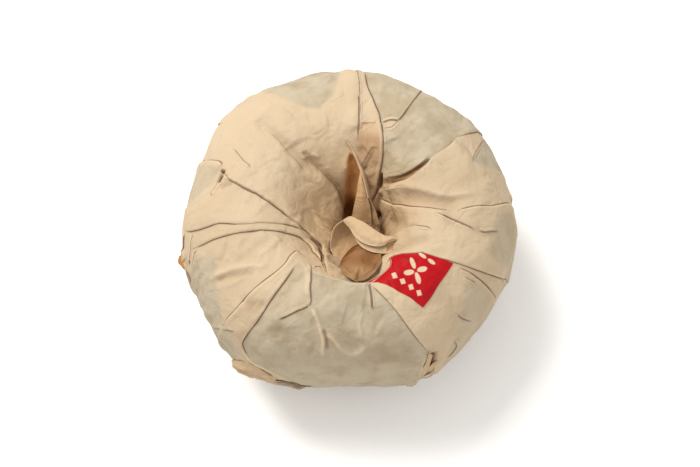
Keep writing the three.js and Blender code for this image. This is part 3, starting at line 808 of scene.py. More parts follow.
@dataclass
class PaperTone:
    """Where the paper is thin, and where shade and light are painted on it: warm and deep brown painted shade in the
    hollow, and painted light where light would come through it.
    """

    form: PackForm
    fields: dict[Tone, list[ToneField]]

    def __post_init__(self) -> None:
        """Lays the outlines of the fields."""
        for items in self.fields.values():
            for item in items:
                item.lay(self.form)

    def values(self, points: Array, bearing: Array, station: Array) -> dict[str, Array]:
        """Every tone at points of the body, by its attribute's name.

        Args:
            points: Points (n, 3) of the smooth body.
            bearing: Their bearings.
            station: Their stations.

        Returns:
            n values for each tone.
        """
        values = {
            Tone.LAYERS: 1.0 - 0.8 * smoothstep(2.0 - station, 0.0, 0.35),
            # painted warm shade that grows into the hollow, and painted deep brown shade on the floor of the throat
            Tone.WARM: 0.64 * smoothstep(station, 3.05, 3.9),
            Tone.DEEP: 0.5 * smoothstep(station, 3.95, 4.3),
            Tone.GLOW: np.zeros(len(points)),
        }
        for tone, items in self.fields.items():
            for item in items:
                cover, total = item.cover(points, bearing, station), values[tone]
                if tone is Tone.LAYERS:
                    values[tone] = total * (1 - cover) + item.tone * cover
                else:
                    values[tone] = np.maximum(total, item.tone * cover)
        return {tone.value: total for tone, total in values.items()}


# ---- finishes ----


class NodeDesk:
    """A new material's node tree, with short calls to add and join nodes."""

    def __init__(self, name: str) -> None:
        """Starts the material.

        Args:
            name: Its name.
        """
        self.material = bpy.data.materials.new(name)
        self.material.use_nodes = True
        self.tree = self.material.node_tree
        self.shader = self.tree.nodes["Principled BSDF"]
        self.place = self.add("TexCoord").outputs["Object"]

    def add(self, kind: str, **settings: object) -> bpy.types.Node:
        """Adds a node.

        Args:
            kind: Its type, without ShaderNode.
            settings: Its properties, and its sockets by their names with _ for a space.

        Returns:
            The node.
        """
        node = self.tree.nodes.new("ShaderNode" + kind)
        for key, value in settings.items():
            if hasattr(node, key):
                setattr(node, key, value)
            else:
                node.inputs[key.replace("_", " ")].default_value = value
        return node

    def feed(self, socket: Socket, value: object) -> None:
        """Gives an input what it reads.

        Args:
            socket: The input.
            value: Another node's output, a number or a colour.
        """
        if isinstance(value, Socket):
            self.tree.links.new(value, socket)
        else:
            socket.default_value = (*value, 1.0) if isinstance(value, tuple) else value

    def attribute(self, name: str) -> Socket:
        """A mesh attribute's value."""
        return self.add("Attribute", attribute_name=name).outputs["Fac"]

    def noise(self, scale: float, detail: float = 3.0, **more: float) -> Socket:
        """A noise texture over Object coordinates.

        Args:
            scale: Its scale.
            detail: Its detail.
            more: Its other sockets.

        Returns:
            The noise's socket.
        """
        node = self.add("TexNoise", Scale=scale, Detail=detail, **more)
        self.feed(node.inputs["Vector"], self.place)
        return node.outputs["Fac"]

    def ramp(self, value: Socket, low: float, high: float, end: float = 1.0) -> Socket:
        """A smooth step of a value.

        Args:
            value: The value's socket.
            low: Where the step starts, at 0.
            high: Where it ends.
            end: Its height there.

        Returns:
            The step's socket.
        """
        node = self.add("MapRange", interpolation_type="SMOOTHSTEP", From_Min=low, From_Max=high, To_Max=end)
        self.feed(node.inputs["Value"], value)
        return node.outputs["Result"]

    def maths(self, operation: str, first: object, second: object = 0.0) -> Socket:
        """One operation on two values.

        Args:
            operation: Its name.
            first: A socket or a number.
            second: A socket or a number.

        Returns:
            The result's socket.
        """
        node = self.add("Math", operation=operation)
        self.feed(node.inputs[0], first)
        self.feed(node.inputs[1], second)
        return node.outputs["Value"]

    def mix(self, factor: object, first: object, second: object) -> Socket:
        """Mixes two colours.

        Args:
            factor: 0 for the first colour, 1 for the second.
            first: A colour or a socket.
            second: A colour or a socket.

        Returns:
            The mixed colour's socket.
        """
        node = self.add("Mix", data_type="RGBA")
        for index, value in ((0, factor), (6, first), (7, second)):
            self.feed(node.inputs[index], value)
        return node.outputs[2]

    def finish(self, colour: Socket, roughness: float, relief: Socket, strength: float, depth: float) -> None:
        """Joins a colour and a fine relief to a matte shader.

        Args:
            colour: Base colour.
            roughness: Of the shader.
            relief: Height for the bump.
            strength: Strength of the bump.
            depth: Depth of the bump, in metres.
        """
        self.feed(self.shader.inputs["Base Color"], colour)
        self.shader.inputs["Roughness"].default_value = roughness
        self.shader.inputs["Specular IOR Level"].default_value = 0.1
        bump = self.add("Bump", Strength=strength, Distance=depth)
        self.feed(bump.inputs["Height"], relief)
        self.feed(self.shader.inputs["Normal"], bump.outputs["Normal"])


@dataclass(frozen=True)
class TissuePaper:
    """Thin handmade tissue: cream where it is folded, greyer where the tea shows through, with painted shade, painted
    light and painted highlights mixed in.
    """

    name: str = "tissue_paper"
    folded: Colour = (0.445, 0.345, 0.23)
    folded_dark: Colour = (0.38, 0.285, 0.183)
    single: Colour = (0.372, 0.312, 0.222)
    single_dark: Colour = (0.305, 0.248, 0.163)
    # edge is a painted highlight; warm, deep and line are painted shade; glow is painted light where light would come
    # through the paper
    edge: Colour = (0.55, 0.43, 0.295)
    warm: Colour = (0.43, 0.262, 0.122)
    glow: Colour = (0.45, 0.2, 0.065)
    deep: Colour = (0.17, 0.06, 0.014)
    line: Colour = (0.075, 0.03, 0.01)
    roughness: float = 0.72

    def build(self) -> bpy.types.Material:
        """Makes the finish from the paper's attributes and fine noise.

        Returns:
            The material.
        """
        desk = NodeDesk(self.name)
        blotch = desk.noise(190.0, 4.0, Roughness=0.55)
        drift = desk.noise(55.0, 2.0)
        speck = desk.noise(900.0, 3.0, Roughness=0.7)
        ragged = desk.maths("MULTIPLY", desk.maths("SUBTRACT", blotch, 0.5), 0.35)
        layers = desk.ramp(desk.maths("ADD", desk.attribute("layers"), ragged), 0.2, 0.8)
        folded = desk.mix(desk.ramp(drift, 0.35, 0.7, 0.5), self.folded, self.folded_dark)
        single = desk.mix(desk.ramp(blotch, 0.38, 0.68), self.single, self.single_dark)
        base = desk.mix(layers, single, folded)
        base = desk.mix(desk.maths("MULTIPLY", desk.ramp(speck, 0.5, 0.75), 0.16), base, self.folded_dark)
        # mixes in the painted highlight (edge), the painted shade (warm, deep, line) and the painted light (glow)
        for name in ("edge", "warm", "glow", "deep", "line"):
            base = desk.mix(desk.attribute(name), base, getattr(self, name))
        desk.finish(base, self.roughness, self.crinkles(desk), 0.7, 0.0004)
        return desk.material

    @staticmethod
    def crinkles(desk: NodeDesk) -> Socket:
        """Height of fibres, faint crinkles and the sharp creases of crushed tissue.

        Args:
            desk: The material's nodes.

        Returns:
            The height's socket.
        """
        fibre = desk.noise(1500.0, 4.0, Roughness=0.65)
        crinkle = desk.noise(330.0, 3.0, Distortion=1.2)
        height = desk.maths("ADD", desk.maths("MULTIPLY", fibre, 0.25), desk.maths("MULTIPLY", crinkle, 0.8))
        for scale, share in ((95.0, 4.2), (210.0, 2.2)):
            folds = desk.noise(scale, 2.0, Roughness=0.4, Distortion=0.7)
            crease = desk.maths("ABSOLUTE", desk.maths("SUBTRACT", folds, 0.5))
            height = desk.maths("ADD", height, desk.maths("MULTIPLY", crease, share))
        return height


@dataclass(frozen=True)
class SealInk:
    """Red stamp ink on the paper, with the marks left bare."""

    name: str = "seal_ink"
    red: Colour = (0.34, 0.003, 0.006)
    red_dark: Colour = (0.24, 0.0025, 0.005)
    bare: Colour = (0.5, 0.375, 0.26)
    roughness: float = 0.5

    def build(self) -> bpy.types.Material:
        """Makes the finish from the ink attribute and fine noise.

        Returns:
            The material.
        """
        desk = NodeDesk(self.name)
        blotch = desk.noise(420.0, 4.0, Roughness=0.6)
        red = desk.mix(desk.ramp(blotch, 0.4, 0.75), self.red, self.red_dark)
        base = desk.mix(desk.attribute("ink"), self.bare, red)
        desk.finish(base, self.roughness, desk.noise(1500.0), 0.25, 0.0002)
        return desk.material


@dataclass(frozen=True)
class TableTop:
    """Plain white table."""

    name: str = "table_top"
    colour: Colour = (0.89, 0.88, 0.87)
    tinge: Colour = (0.86, 0.85, 0.84)

    def build(self) -> bpy.types.Material:
        """Makes the finish, a little uneven in tone.

        Returns:
            The material.
        """
        desk = NodeDesk(self.name)
        tinged = desk.mix(desk.ramp(desk.noise(3.0), 0.3, 0.7, 0.05), self.colour, self.tinge)
        desk.feed(desk.shader.inputs["Base Color"], tinged)
        desk.shader.inputs["Roughness"].default_value = 0.8
        return desk.material


# ---- shared modelling steps ----


def select_only(*pieces: Piece) -> None:
    """Selects some objects alone.

    Args:
        pieces: The objects; the first one becomes active.
    """
    bpy.ops.object.select_all(action="DESELECT")
    for piece in reversed(pieces):
        piece.select_set(True)
        bpy.context.view_layer.objects.active = piece


def edit_all(*steps: Callable[[], object]) -> None:
    """Runs modelling steps in edit mode on the whole active mesh.

    Args:
        steps: Calls of operators.
    """
    bpy.ops.object.mode_set(mode="EDIT")
    bpy.ops.mesh.select_all(action="SELECT")
    for step in steps:
        step()
    bpy.ops.object.mode_set(mode="OBJECT")


def lay_vertices(piece: Piece, points: Array) -> None:
    """Moves a mesh's vertices.

    Args:
        piece: The mesh's object.
        points: A point for each vertex, in millimetres in the pack's frame.
    """
    placed = (points - np.array(BOX_MIDDLE)) * METRES
    piece.data.vertices.foreach_set("co", placed.astype(np.float32).ravel())
    piece.data.update()


def paint(piece: Piece, **values: Array) -> None:
    """Stores vertex values as attributes of a mesh.

    Args:
        piece: The mesh's object.
        values: A value for each vertex, by the attribute's name.
    """
    for name, numbers in values.items():
        layer = piece.data.attributes.new(name, "FLOAT", "POINT")
        layer.data.foreach_set("value", np.asarray(numbers, np.float32))


def grid_sheet(name: str, columns: int, rows: int) -> tuple[Piece, Array, Array]:
    """A flat grid of paper to be laid out.

    Args:
        name: Name of the piece.
        columns: Cells along the sheet.
        rows: Cells across it.

    Returns:
        The object, and each vertex's column and row index.
    """
    select_only()
    bpy.ops.mesh.primitive_grid_add(x_subdivisions=columns, y_subdivisions=rows, size=2.0)
    piece = bpy.context.object
    piece.name = piece.data.name = name
    places = np.empty(3 * len(piece.data.vertices), np.float32)
    piece.data.vertices.foreach_get("co", places)
    share = (places.reshape(-1, 3).astype(float) + 1) / 2
    return piece, np.rint(share[:, 0] * columns).astype(int), np.rint(share[:, 1] * rows).astype(int)


def thicken(piece: Piece, thickness: float) -> None:
    """Gives a sheet its thickness under its laid face, and smooths it.

    Args:
        piece: The sheet.
        thickness: In millimetres.
    """
    select_only(piece)
    bpy.ops.object.modifier_add(type="SOLIDIFY")
    modifier = piece.modifiers[-1]
    modifier.thickness = thickness * METRES
    modifier.offset = -1.0
    bpy.ops.object.modifier_apply(modifier=modifier.name)
    bpy.ops.object.shade_smooth_by_angle(angle=math.radians(55))


def finish_piece(piece: Piece, material: bpy.types.Material) -> None:
    """Dresses a piece and sets it on the frame.

    Args:
        piece: The piece.
        material: Its finish.
    """
    piece.data.materials.clear()
    piece.data.materials.append(material)
    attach(piece, "root")
    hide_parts(CAD_NODE)
    LOG.info("%s: %d faces", piece.name, len(piece.data.polygons))


# ---- the wrapper ----


@dataclass
class Wrapper:
    """The paper over the whole pack: its skin above and below the girth, and its folds' lips."""

    relief: PaperRelief
    tone: PaperTone
    material: bpy.types.Material
    seam_station: float = 1.72
    upper_segments: int = 640
    upper_rings: int = 152
    dome_segments: int = 400
    dome_rings: int = 90
    lip_cell: float = 0.24
    lip_rows: int = 14
    march_step: float = 0.3
    under: float = 0.7  # width of the rim beneath that shows past the edge
    rest: float = 0.05  # height of that rim over the skin, and its depth at the fold's ends
    dip: float = 0.09  # how much its outer border sinks
    clear: float = 0.1  # height of the raised paper over the skin
    merge: float = 0.3  # how much it sinks towards its inner border
    sunk: float = 0.08  # depth of the raised paper at the fold's ends
    tuck: float = 0.2  # how deep a flat pleat's inner plies lie
    paper: float = 0.07

    def build(self) -> None:
        """Makes the skin and every fold."""
        rings = np.linspace(0, 1, self.upper_rings)
        upper = np.interp(rings, [0, 0.04, 0.2, 0.86, 1], [5.0, 4.3, 3.75, 2.1, self.seam_station])
        self.skin("wrapper_upper", self.upper_segments, [*upper, math.nan])
        dome = np.linspace(self.seam_station, 0.0, self.dome_rings)
        self.skin("wrapper_dome", self.dome_segments, [math.nan, *dome])
        for name, group in self.relief.folds.items():
            pieces = [self.lip(name, item) for item in group]
            select_only(*pieces)
            if len(pieces) > 1:
                bpy.ops.object.join()
            pieces[0].name = pieces[0].data.name = name
            finish_piece(pieces[0], self.material)

    def skin(self, name: str, segments: int, stations: list[float]) -> None:
        """One closed part of the skin, a grid rolled round the pack and closed at both poles.

        Args:
            name: Name of the piece.
            segments: Cells round each ring.
            stations: From the inner pole to the outer one; nan is a pole inside the pack.
        """
        form = self.relief.form
        piece, column, row = grid_sheet(name, segments, len(stations) - 1)
        bearing, station = 360.0 * column / segments, np.array(stations)[row]
        inside = np.isnan(station)
        station = np.where(inside, self.seam_station, station)
        points = form.point(bearing, station)
        normals = form.normal(bearing, np.clip(station, 0.02, 4.95))
        laid = points + normals * self.relief.level(points, bearing, station)[:, None]
        laid[inside] = (0.0, 0.0, form.section(np.array(self.seam_station))[1])
        lay_vertices(piece, laid)
        paint(piece, **self.skin_tones(points, bearing, station))
        edit_all(
            lambda: bpy.ops.mesh.remove_doubles(threshold=1e-7),
            lambda: bpy.ops.mesh.normals_make_consistent(inside=False),
        )
        bpy.ops.object.shade_smooth_by_angle(angle=math.radians(60))
        finish_piece(piece, self.material)

    def skin_tones(self, points: Array, bearing: Array, station: Array) -> dict[str, Array]:
        """Every tone of the skin, with the painted shade lines, brown painted shade and painted crest highlights that
        its ridges give it.

        Args:
            points: Points (n, 3) of the smooth body.
            bearing: Their bearings.
            station: Their stations.

        Returns:
            n values for each attribute.
        """
        tones = self.tone.values(points, bearing, station)
        tones |= {"line": np.zeros(len(points)), "edge": np.zeros(len(points))}
        # ridges paint shade (line, deep) along their bottoms and a highlight (edge) on their crests
        for item in self.relief.ridges:
            if item.dark or item.deep or item.bright:
                distance, _, share = item.laid.measure(points, 3.0 * item.width)
                near = np.exp(-((distance / (0.85 * item.breadth(share))) ** 2)) * run_out(share, item.ends)
                own = {"line": item.dark * near, "deep": item.deep * near, "edge": item.bright * near**3}
                tones |= {name: np.maximum(tones[name], value) for name, value in own.items()}
        return tones

    def lip(self, name: str, item: Fold) -> Piece:
        """One fold's edge: the paper beneath, folded back out to the edge and over it.

        Args:
            name: Name of its piece.
            item: The fold.

        Returns:
            The sheet, dressed with its attributes.
        """
        form = self.relief.form
        columns = max(30, int(path_length(item.way.lay(form, 60).points) / self.lip_cell))
        depths, plies = np.array(self.plies(item)).T
        bearings, stations = self.march(item, columns, depths)
        piece, column, row = grid_sheet(name, columns, len(plies) - 1)
        depth, ply, share = depths[row], plies[row], column / columns
        b, s = bearings[column, row], stations[column, row]
        points = form.point(b, s)
        out = run_out(share, item.ends)
        floor = self.rest * out - self.rest * (1 - out) - self.dip * smoothstep(-depth, 0.2, self.under)
        floor -= self.tuck * smoothstep(depth, 0.05, 0.4) * (item.gap < 0.1)
        top = self.lip_height(item, depth, out, points)
        heights = np.select([ply == 0, ply == 1], [floor, floor + (top - floor) * np.clip(1.1 - depth, 0.1, 0.75)], top)
        lift = self.relief.level(points, b, s, skip=item) + heights * form.shut(s)
        lay_vertices(piece, points + form.normal(b, s) * lift[:, None])
        if item.side is Side.RIGHT:
            edit_all(bpy.ops.mesh.flip_normals)
        tones = self.skin_tones(points, b, s)
        self.dress_lip(item, tones, depth, ply, out, points)
        paint(piece, **tones)
        thicken(piece, self.paper)
        return piece

    def dress_lip(
        self, item: Fold, tones: dict[str, Array], depth: Array, ply: Array, out: Array, points: Array
    ) -> None:
        """Gives the skin's tones a fold's own layers, the painted shadow line under its edge and the painted highlight
        along its rim.

        Args:
            item: The fold.
            tones: The skin's tones, changed in place.
            depth: Distance of each vertex from the edge.
            ply: Its ply.
            out: 1 along the fold and 0 at its ends.
            points: Its point on the smooth body.
        """
        top = ply == 2
        if item.tone is not None:
            own = smoothstep(depth, 0.2 * item.lip, 0.7 * item.lip)
            tones["layers"] = np.where(ply == 0, tones["layers"], item.tone * (1 - own) + tones["layers"] * own)
        # painted shadow line under the edge, on the paper beneath and on the folded-back ply
        grain = 0.5 + 0.5 * self.relief.grains["fine"].at(points * 0.5)
        strength = np.clip(1.35 * item.line * (0.65 + 0.6 * grain), 0.0, 1.0) * out
        seam = np.exp(-((np.maximum(-depth, 0) / ((0.1 + 0.15 * grain) * (0.6 + 0.9 * item.line))) ** 2))
        line = np.select([ply == 0, ply == 1], [strength * seam, 0.8 * strength], 0.0)
        tones["line"] = np.maximum(line, tones["line"] * (1 - out * top))
        # painted highlight along the top ply's edge
        rim = np.where(top, 0.6 * item.line * np.exp(-(((depth - 0.2) / 0.22) ** 2)) * out, 0.0)
        tones["edge"] = np.maximum(rim, tones["edge"] * (ply != 1))
        # brown painted shade on the lip
        warm = item.warm * out * (1 - smoothstep(depth, 0.3 * item.lip, 0.9 * item.lip))
        tones["warm"] = np.maximum(tones["warm"], np.where(ply == 0, 0.0, warm))
        # painted deep shade taken off the top ply near its edge
        tones["deep"] *= 1 - 0.7 * out * top * (depth < 0.7)

    def plies(self, item: Fold) -> list[tuple[float, int]]:
        """Rows of paper across a fold's edge.

        Args:
            item: The fold.

        Returns:
            For each row its distance from the edge and its ply: 0 beneath, 1 folded back, 2 on top.
        """
        turn = min(0.95, 0.4 * item.lip)
        under = [(-self.under * k / 5, 0) for k in range(5, 0, -1)] + [(0.0, 0), (0.5 * turn, 0), (turn, 0)]
        back = [(0.9 * turn, 1), (0.4 * turn, 1), (0.06, 1)]
        rows = max(8, round(self.lip_rows * item.lip / 6))
        return under + back + [(item.lip * (k / rows) ** 1.5, 2) for k in range(rows + 1)]

    def march(self, item: Fold, columns: int, depths: Array) -> tuple[Array, Array]:
        """Places at distances across a fold's edge, measured over the smooth body.

        Args:
            item: The fold.
            columns: Cells along the edge.
            depths: Distances, positive on the raised side.

        Returns:
            Bearings and stations, each (columns + 1, number of distances).
        """
        form, step = self.relief.form, self.march_step
        start = item.way.sample(columns + 1).T
        tangent = unit(np.gradient(form.point(*start), axis=0))
        aside = unit(np.cross(form.normal(*start), tangent)) * item.side.value
        padded = np.pad(aside, ((4, 4), (0, 0)), mode="edge")
        aside = np.stack([np.convolve(padded[:, k], np.ones(9) / 9, mode="valid") for k in range(3)], axis=-1)
        marks = np.arange(-4, int(item.lip / step) + 3) * step
        found = {0.0: start}
        for direction in (1.0, -1.0):
            bearing, station = start
            across = aside * direction
            for mark in np.sort(np.abs(marks[marks * direction > 0])):
                around, along = form.slopes(bearing, station)
                normal = unit(np.cross(around, along))
                across = unit(across - (across * normal).sum(-1, keepdims=True) * normal)
                aa, ab, bb = (around**2).sum(-1), (around * along).sum(-1), (along**2).sum(-1)
                ra, rb = (around * across).sum(-1) * step, (along * across).sum(-1) * step
                det = aa * bb - ab**2
                bearing, station = bearing + (bb * ra - ab * rb) / det, station + (aa * rb - ab * ra) / det
                found[round(float(mark * direction), 3)] = (bearing, station)
        keys = sorted(found)
        tables = [np.array([found[key][k] for key in keys]) for k in (0, 1)]
        return tuple(np.array([np.interp(depths, keys, column) for column in table.T]) for table in tables)

    def lip_height(self, item: Fold, depth: Array, out: Array, points: Array) -> Array:
        """Height of a lip over the paper it lies on.

        Args:
            item: The fold.
            depth: Distance of each vertex from the edge.
            out: 1 along the fold and 0 at its ends.
            points: Its point on the smooth body.

        Returns:
            Heights in millimetres.
        """
        loose = 1.0 + 0.6 * self.relief.grains["fine"].at(points * 0.4)
        clear = self.clear - self.merge * smoothstep(depth, 0.35 * item.lip, item.lip)
        end = self.sunk * (1 - out)
        full = item.rise * np.exp(-((np.maximum(depth, 0) / item.reach) ** 2)) * out + clear * out - end
        edge = (item.gap * loose + self.paper) * out - end
        drop = np.exp(-((depth / item.roll) ** 2))
        return full * (1 - drop) + np.minimum(edge, full) * drop


# ---- the twist and the loose ends of the folds ----


@dataclass(frozen=True)
class LooseSheet:
    """One sheet that stands clear of the skin, through rows of points from its root to its free edge."""

    name: str
    warm: tuple[float, float]  # painted warm shade, at the root and at the free edge
    # painted deep brown shade, at the root and at the free edge
    deep: tuple[float, float]
    rows: list[list[Point]]
    crinkle: float = 0.12
    bright: float = 0.6  # lightness of the painted highlight along the free edge
    # dark paints shade over the whole sheet; glow paints light as if it came through the paper
    dark: float = 0.0
    glow: float = 0.0
    creases: list[tuple[float, ...]] = field(default_factory=list)  # shares from, shares to, height, width


# warm, deep and dark give painted shade, bright a painted highlight on the free edge, and glow painted light
TWIST_SHEETS = [
    LooseSheet("twist_cup", (0.85, 0.5), (0.2, 0), glow=0.1, rows=[
        [(6.5, -4.5, 34), (6, -6, 33.5), (5.6, -7.6, 33.5), (5.4, -9.2, 33.8), (5.2, -10.6, 34.5), (5, -12, 35.5)],
        [(2.6, -3, 34.6), (1.6, -4.6, 33.8), (1.3, -6.6, 33.4), (1.3, -8.6, 33.6), (1.6, -10.4, 34.2),
            (2, -12, 35.4)],
        [(1.2, -2.2, 36.8), (-0.9, -3.4, 36), (-1.9, -5.4, 34.8), (-2.1, -7.6, 34.2), (-1.7, -9.8, 34.2),
            (-0.4, -12, 35.2)],
        [(0.6, -2, 38.9), (-1.7, -3.3, 38.5), (-3.6, -5, 37.3), (-4.1, -7.3, 36.2), (-4, -9.7, 35.6),
            (-2.6, -12.4, 36)],
    ]),
    LooseSheet("twist_flap", (0.45, 0.3), (0.03, 0), crinkle=0.08, bright=0.8, rows=[
        [(-0.8, -3.3, 39.9), (0.9, -3, 41), (2.6, -4.1, 41.6), (4.3, -5.1, 41.9), (6.5, -6.9, 42), (8.9, -8.4, 42),
            (11.2, -9, 42), (12.8, -9.6, 41.6)],
        [(-0.8, -3.5, 39.8), (1, -4.8, 41.2), (2.9, -6.7, 42), (4.8, -8.5, 42.3), (7.2, -9.6, 42.4),
            (9.2, -9.9, 42.5), (11, -9.3, 42.4), (12.6, -9.5, 41.9)],
        [(-0.8, -3.7, 39.6), (0.7, -5.8, 40.4), (2, -8.4, 41), (4.3, -10.3, 41.4), (6.8, -11.1, 41.7),
            (8.8, -10.9, 41.8), (10.4, -9.8, 42), (12.2, -9.5, 41.9)],
    ]),
    LooseSheet("twist_under_flap", (0.6, 0.35), (0.3, 0), crinkle=0.06, bright=0.8, rows=[
        [(2.6, -7.2, 40.1), (4.4, -9, 40.5), (6.4, -10, 40.7), (8.3, -10.2, 40.9), (9.7, -10, 41)],
        [(2.3, -7.9, 40.2), (4, -9.8, 40.6), (6.1, -10.9, 40.8), (8.1, -11.2, 40.9), (9.6, -11.2, 41)],
        [(2, -8.5, 40), (3.6, -10.8, 40.3), (5.9, -12.1, 40.5), (7.9, -12.5, 40.6), (9.5, -12.6, 40.6)],
    ]),
    LooseSheet("twist_roll", (0.8, 0.5), (0.15, 0), crinkle=0.04, bright=0.9, glow=0.2, rows=[
        [(8.8, -10.5, 41.2), (9.9, -10, 41.2), (11.1, -9.6, 41.2), (12.6, -9.7, 41.3)],
        [(9, -11.6, 40.5), (10.1, -11.2, 40.4), (11.3, -10.8, 40.5), (12.8, -10.2, 40.9)],
        [(9.3, -12.7, 40.8), (10.5, -12.5, 40.9), (11.8, -12, 41), (13, -10.6, 41.2)],
    ]),
    LooseSheet("twist_fin", (0.75, 0.7), (0, 0.02), crinkle=0.1, bright=0.8, glow=0.12, rows=[
        [(3.2, 9.1, 41.2), (2.7, 6.8, 39.6), (2.2, 4.5, 37.6), (1.6, 2.2, 35), (1, 0.2, 32)],
        [(3.4, 8.9, 41.3), (3.5, 6.5, 40), (3.5, 4, 38.1), (3.6, 1.6, 35.6), (3.5, -0.6, 32.6)],
        [(3.5, 8.8, 41.1), (4.1, 6.5, 39.5), (4.9, 4.1, 37.4), (5.7, 1.8, 34.8), (6, -0.8, 31.8)],
    ]),
    LooseSheet("twist_fin_fold", (0.8, 0.6), (0.3, 0.15), rows=[
        [(4.8, 4.7, 36.6), (5.5, 2.8, 34.2), (5.9, 0.8, 32.6), (6.1, -1, 30.5)],
        [(5.3, 3.8, 37), (6.4, 2.3, 35.2), (7.2, 0.8, 33.8), (8, -1, 31.8)],
    ]),
    LooseSheet("twist_curl", (0.5, 0.3), (0.2, 0), crinkle=0.05, bright=0.9, rows=[
        [(0.3, 16.2, 43.2), (1.8, 14.9, 41.8), (2.6, 13.4, 40.8), (3.5, 11.7, 39.8), (4.5, 9.7, 38.6),
            (5.2, 7, 36.8), (5.9, 4.4, 35)],
        [(-0.2, 15.6, 44.7), (1.2, 14.2, 43.6), (2.1, 12.7, 42.6), (2.9, 11, 41.7), (3.9, 8.9, 40.6),
            (4.7, 6.3, 38.6), (5.4, 3.8, 36.8)],
        [(-0.5, 15.5, 44.9), (0.8, 14, 43.9), (1.6, 12.5, 43), (2.4, 10.8, 42.1), (3.3, 8.7, 41.2), (4.3, 6, 39.4),
            (5.1, 3.4, 37.6)],
    ]),
    LooseSheet("twist_brim", (0.8, 0.9), (0.5, 1), crinkle=0.2, bright=0, dark=0.3, rows=[
        [(-1.7, -17.2, 44.2), (-1, -19, 45), (0.2, -20.6, 45.8), (1.9, -21.6, 46.2), (3.8, -21.5, 46),
            (5.6, -20.2, 45.2), (7.2, -18, 44.1), (8.2, -15.6, 43)],
        [(-2, -17.1, 43.8), (-1.1, -18.2, 44.4), (0.3, -19.3, 44.9), (2.1, -19.8, 45.1), (3.9, -19.5, 44.8),
            (5.6, -18.3, 44), (7.1, -16.3, 42.8), (8.2, -13.9, 41.6)],
        [(-1.8, -16.1, 42.6), (-0.9, -16.4, 43), (0.5, -16.5, 43.2), (2.2, -16, 43.2), (3.9, -15.8, 42.9),
            (5.5, -15.3, 42.1), (6.9, -14, 41.2), (8.1, -11.9, 40.2)],
        [(-1.5, -14.7, 40.6), (-0.6, -14.2, 41), (0.7, -13.1, 41), (2.3, -12, 41), (3.8, -11.6, 40.8),
            (5.4, -11.8, 40.2), (6.8, -11.7, 39.4), (8, -10.2, 38.6)],
        [(-0.5, -8.6, 32), (0.7, -7.5, 32), (1.7, -6.7, 32), (2.9, -6.2, 32), (4.4, -6.2, 32), (5.8, -7, 32),
            (7.1, -7, 32), (8.1, -6.2, 32)],
    ], creases=[
        (0.45, 0.04, 0.5, 0.36, -0.7, 0.5), (0.18, 0.3, 0.42, 0.2, 0.5, 0.9), (0.55, 0.16, 0.8, 0.3, 0.45, 0.9),
        (0.2, 0.12, 0.4, 0.34, -0.4, 0.6), (0.62, 0.34, 0.85, 0.12, -0.35, 0.6),
    ]),
]

# warm, deep and dark give painted shade, bright a painted highlight on the free edge, and glow painted light
EDGE_SHEETS = [
    LooseSheet("corner_roll", (0.22, 0.3), (0.06, 0.12), crinkle=0.25, bright=0.3, rows=[
        [(-28.1, -32.9, 21.3), (-25.7, -35.3, 27.2), (-22.3, -37.2, 29.1), (-19.5, -38.4, 27.2),
            (-17.2, -38.9, 25.5)],
        [(-28, -33.8, 20.8), (-26.8, -35.6, 22.5), (-23.9, -37.7, 24.5), (-20.5, -38.9, 24.5), (-17.6, -39, 23.5)],
        [(-26.8, -33.7, 20.5), (-26.4, -34.4, 20), (-24.2, -35.9, 20), (-21.4, -37.3, 20), (-18.2, -38.2, 20.9)],
    ], creases=[
        (0.1, 0.3, 0.9, 0.2, -0.4, 0.25), (0.2, 0.5, 1, 0.4, 0.4, 0.3), (0.05, 0.45, 0.6, 0.65, -0.4, 0.25),
    ]),
    LooseSheet("knot_strip_near", (0.3, 0.4), (0, 0.05), crinkle=0.08, bright=0.7, rows=[
        [(19.6, -36.1, 34.9), (19, -37.3, 31.6), (18.1, -38.1, 28.4), (17.7, -38, 22.6)],
        [(20.5, -36.3, 34), (19.9, -37.6, 30.6), (19, -38.3, 26.4), (18, -37.8, 21.3)],
    ]),
    LooseSheet("knot_strip_middle", (0.5, 0.3), (0.1, 0), crinkle=0.08, bright=0.7, rows=[
        [(21.8, -36.3, 30.6), (20.7, -37.5, 28), (19.3, -38, 26), (18.5, -37.9, 24)],
        [(20.8, -36.7, 30.2), (19.8, -37.3, 29.1), (19.1, -37.6, 26.8), (18.4, -37.8, 24)],
    ]),
    LooseSheet("knot_strip_low", (0.5, 0.3), (0.15, 0), crinkle=0.08, bright=0.8, rows=[
        [(21.4, -36.3, 24), (20.9, -36.3, 20), (19.8, -36.6, 19.2), (18.1, -37.1, 19.7)],
        [(21.3, -36.9, 26.8), (20.7, -37.5, 24.5), (19.6, -37.7, 22.6), (18, -37.7, 21.8)],
    ]),
    LooseSheet("edge_tab", (0.9, 0.9), (0.1, 0.35), crinkle=0.05, bright=0, glow=0.95, rows=[
        [(-41.2, -6.4, 26.4), (-40.8, -7.7, 26), (-40.4, -9.2, 25.6), (-40.1, -10.4, 25)],
        [(-41.5, -7.3, 26.2), (-41.6, -8.2, 25.8), (-41, -9.3, 25.2), (-40.3, -10.3, 24.8)],
        [(-41.6, -7, 25.6), (-42, -8.4, 25.2), (-41.2, -9.3, 24.8), (-40.4, -10.3, 24.6)],
    ]),
]


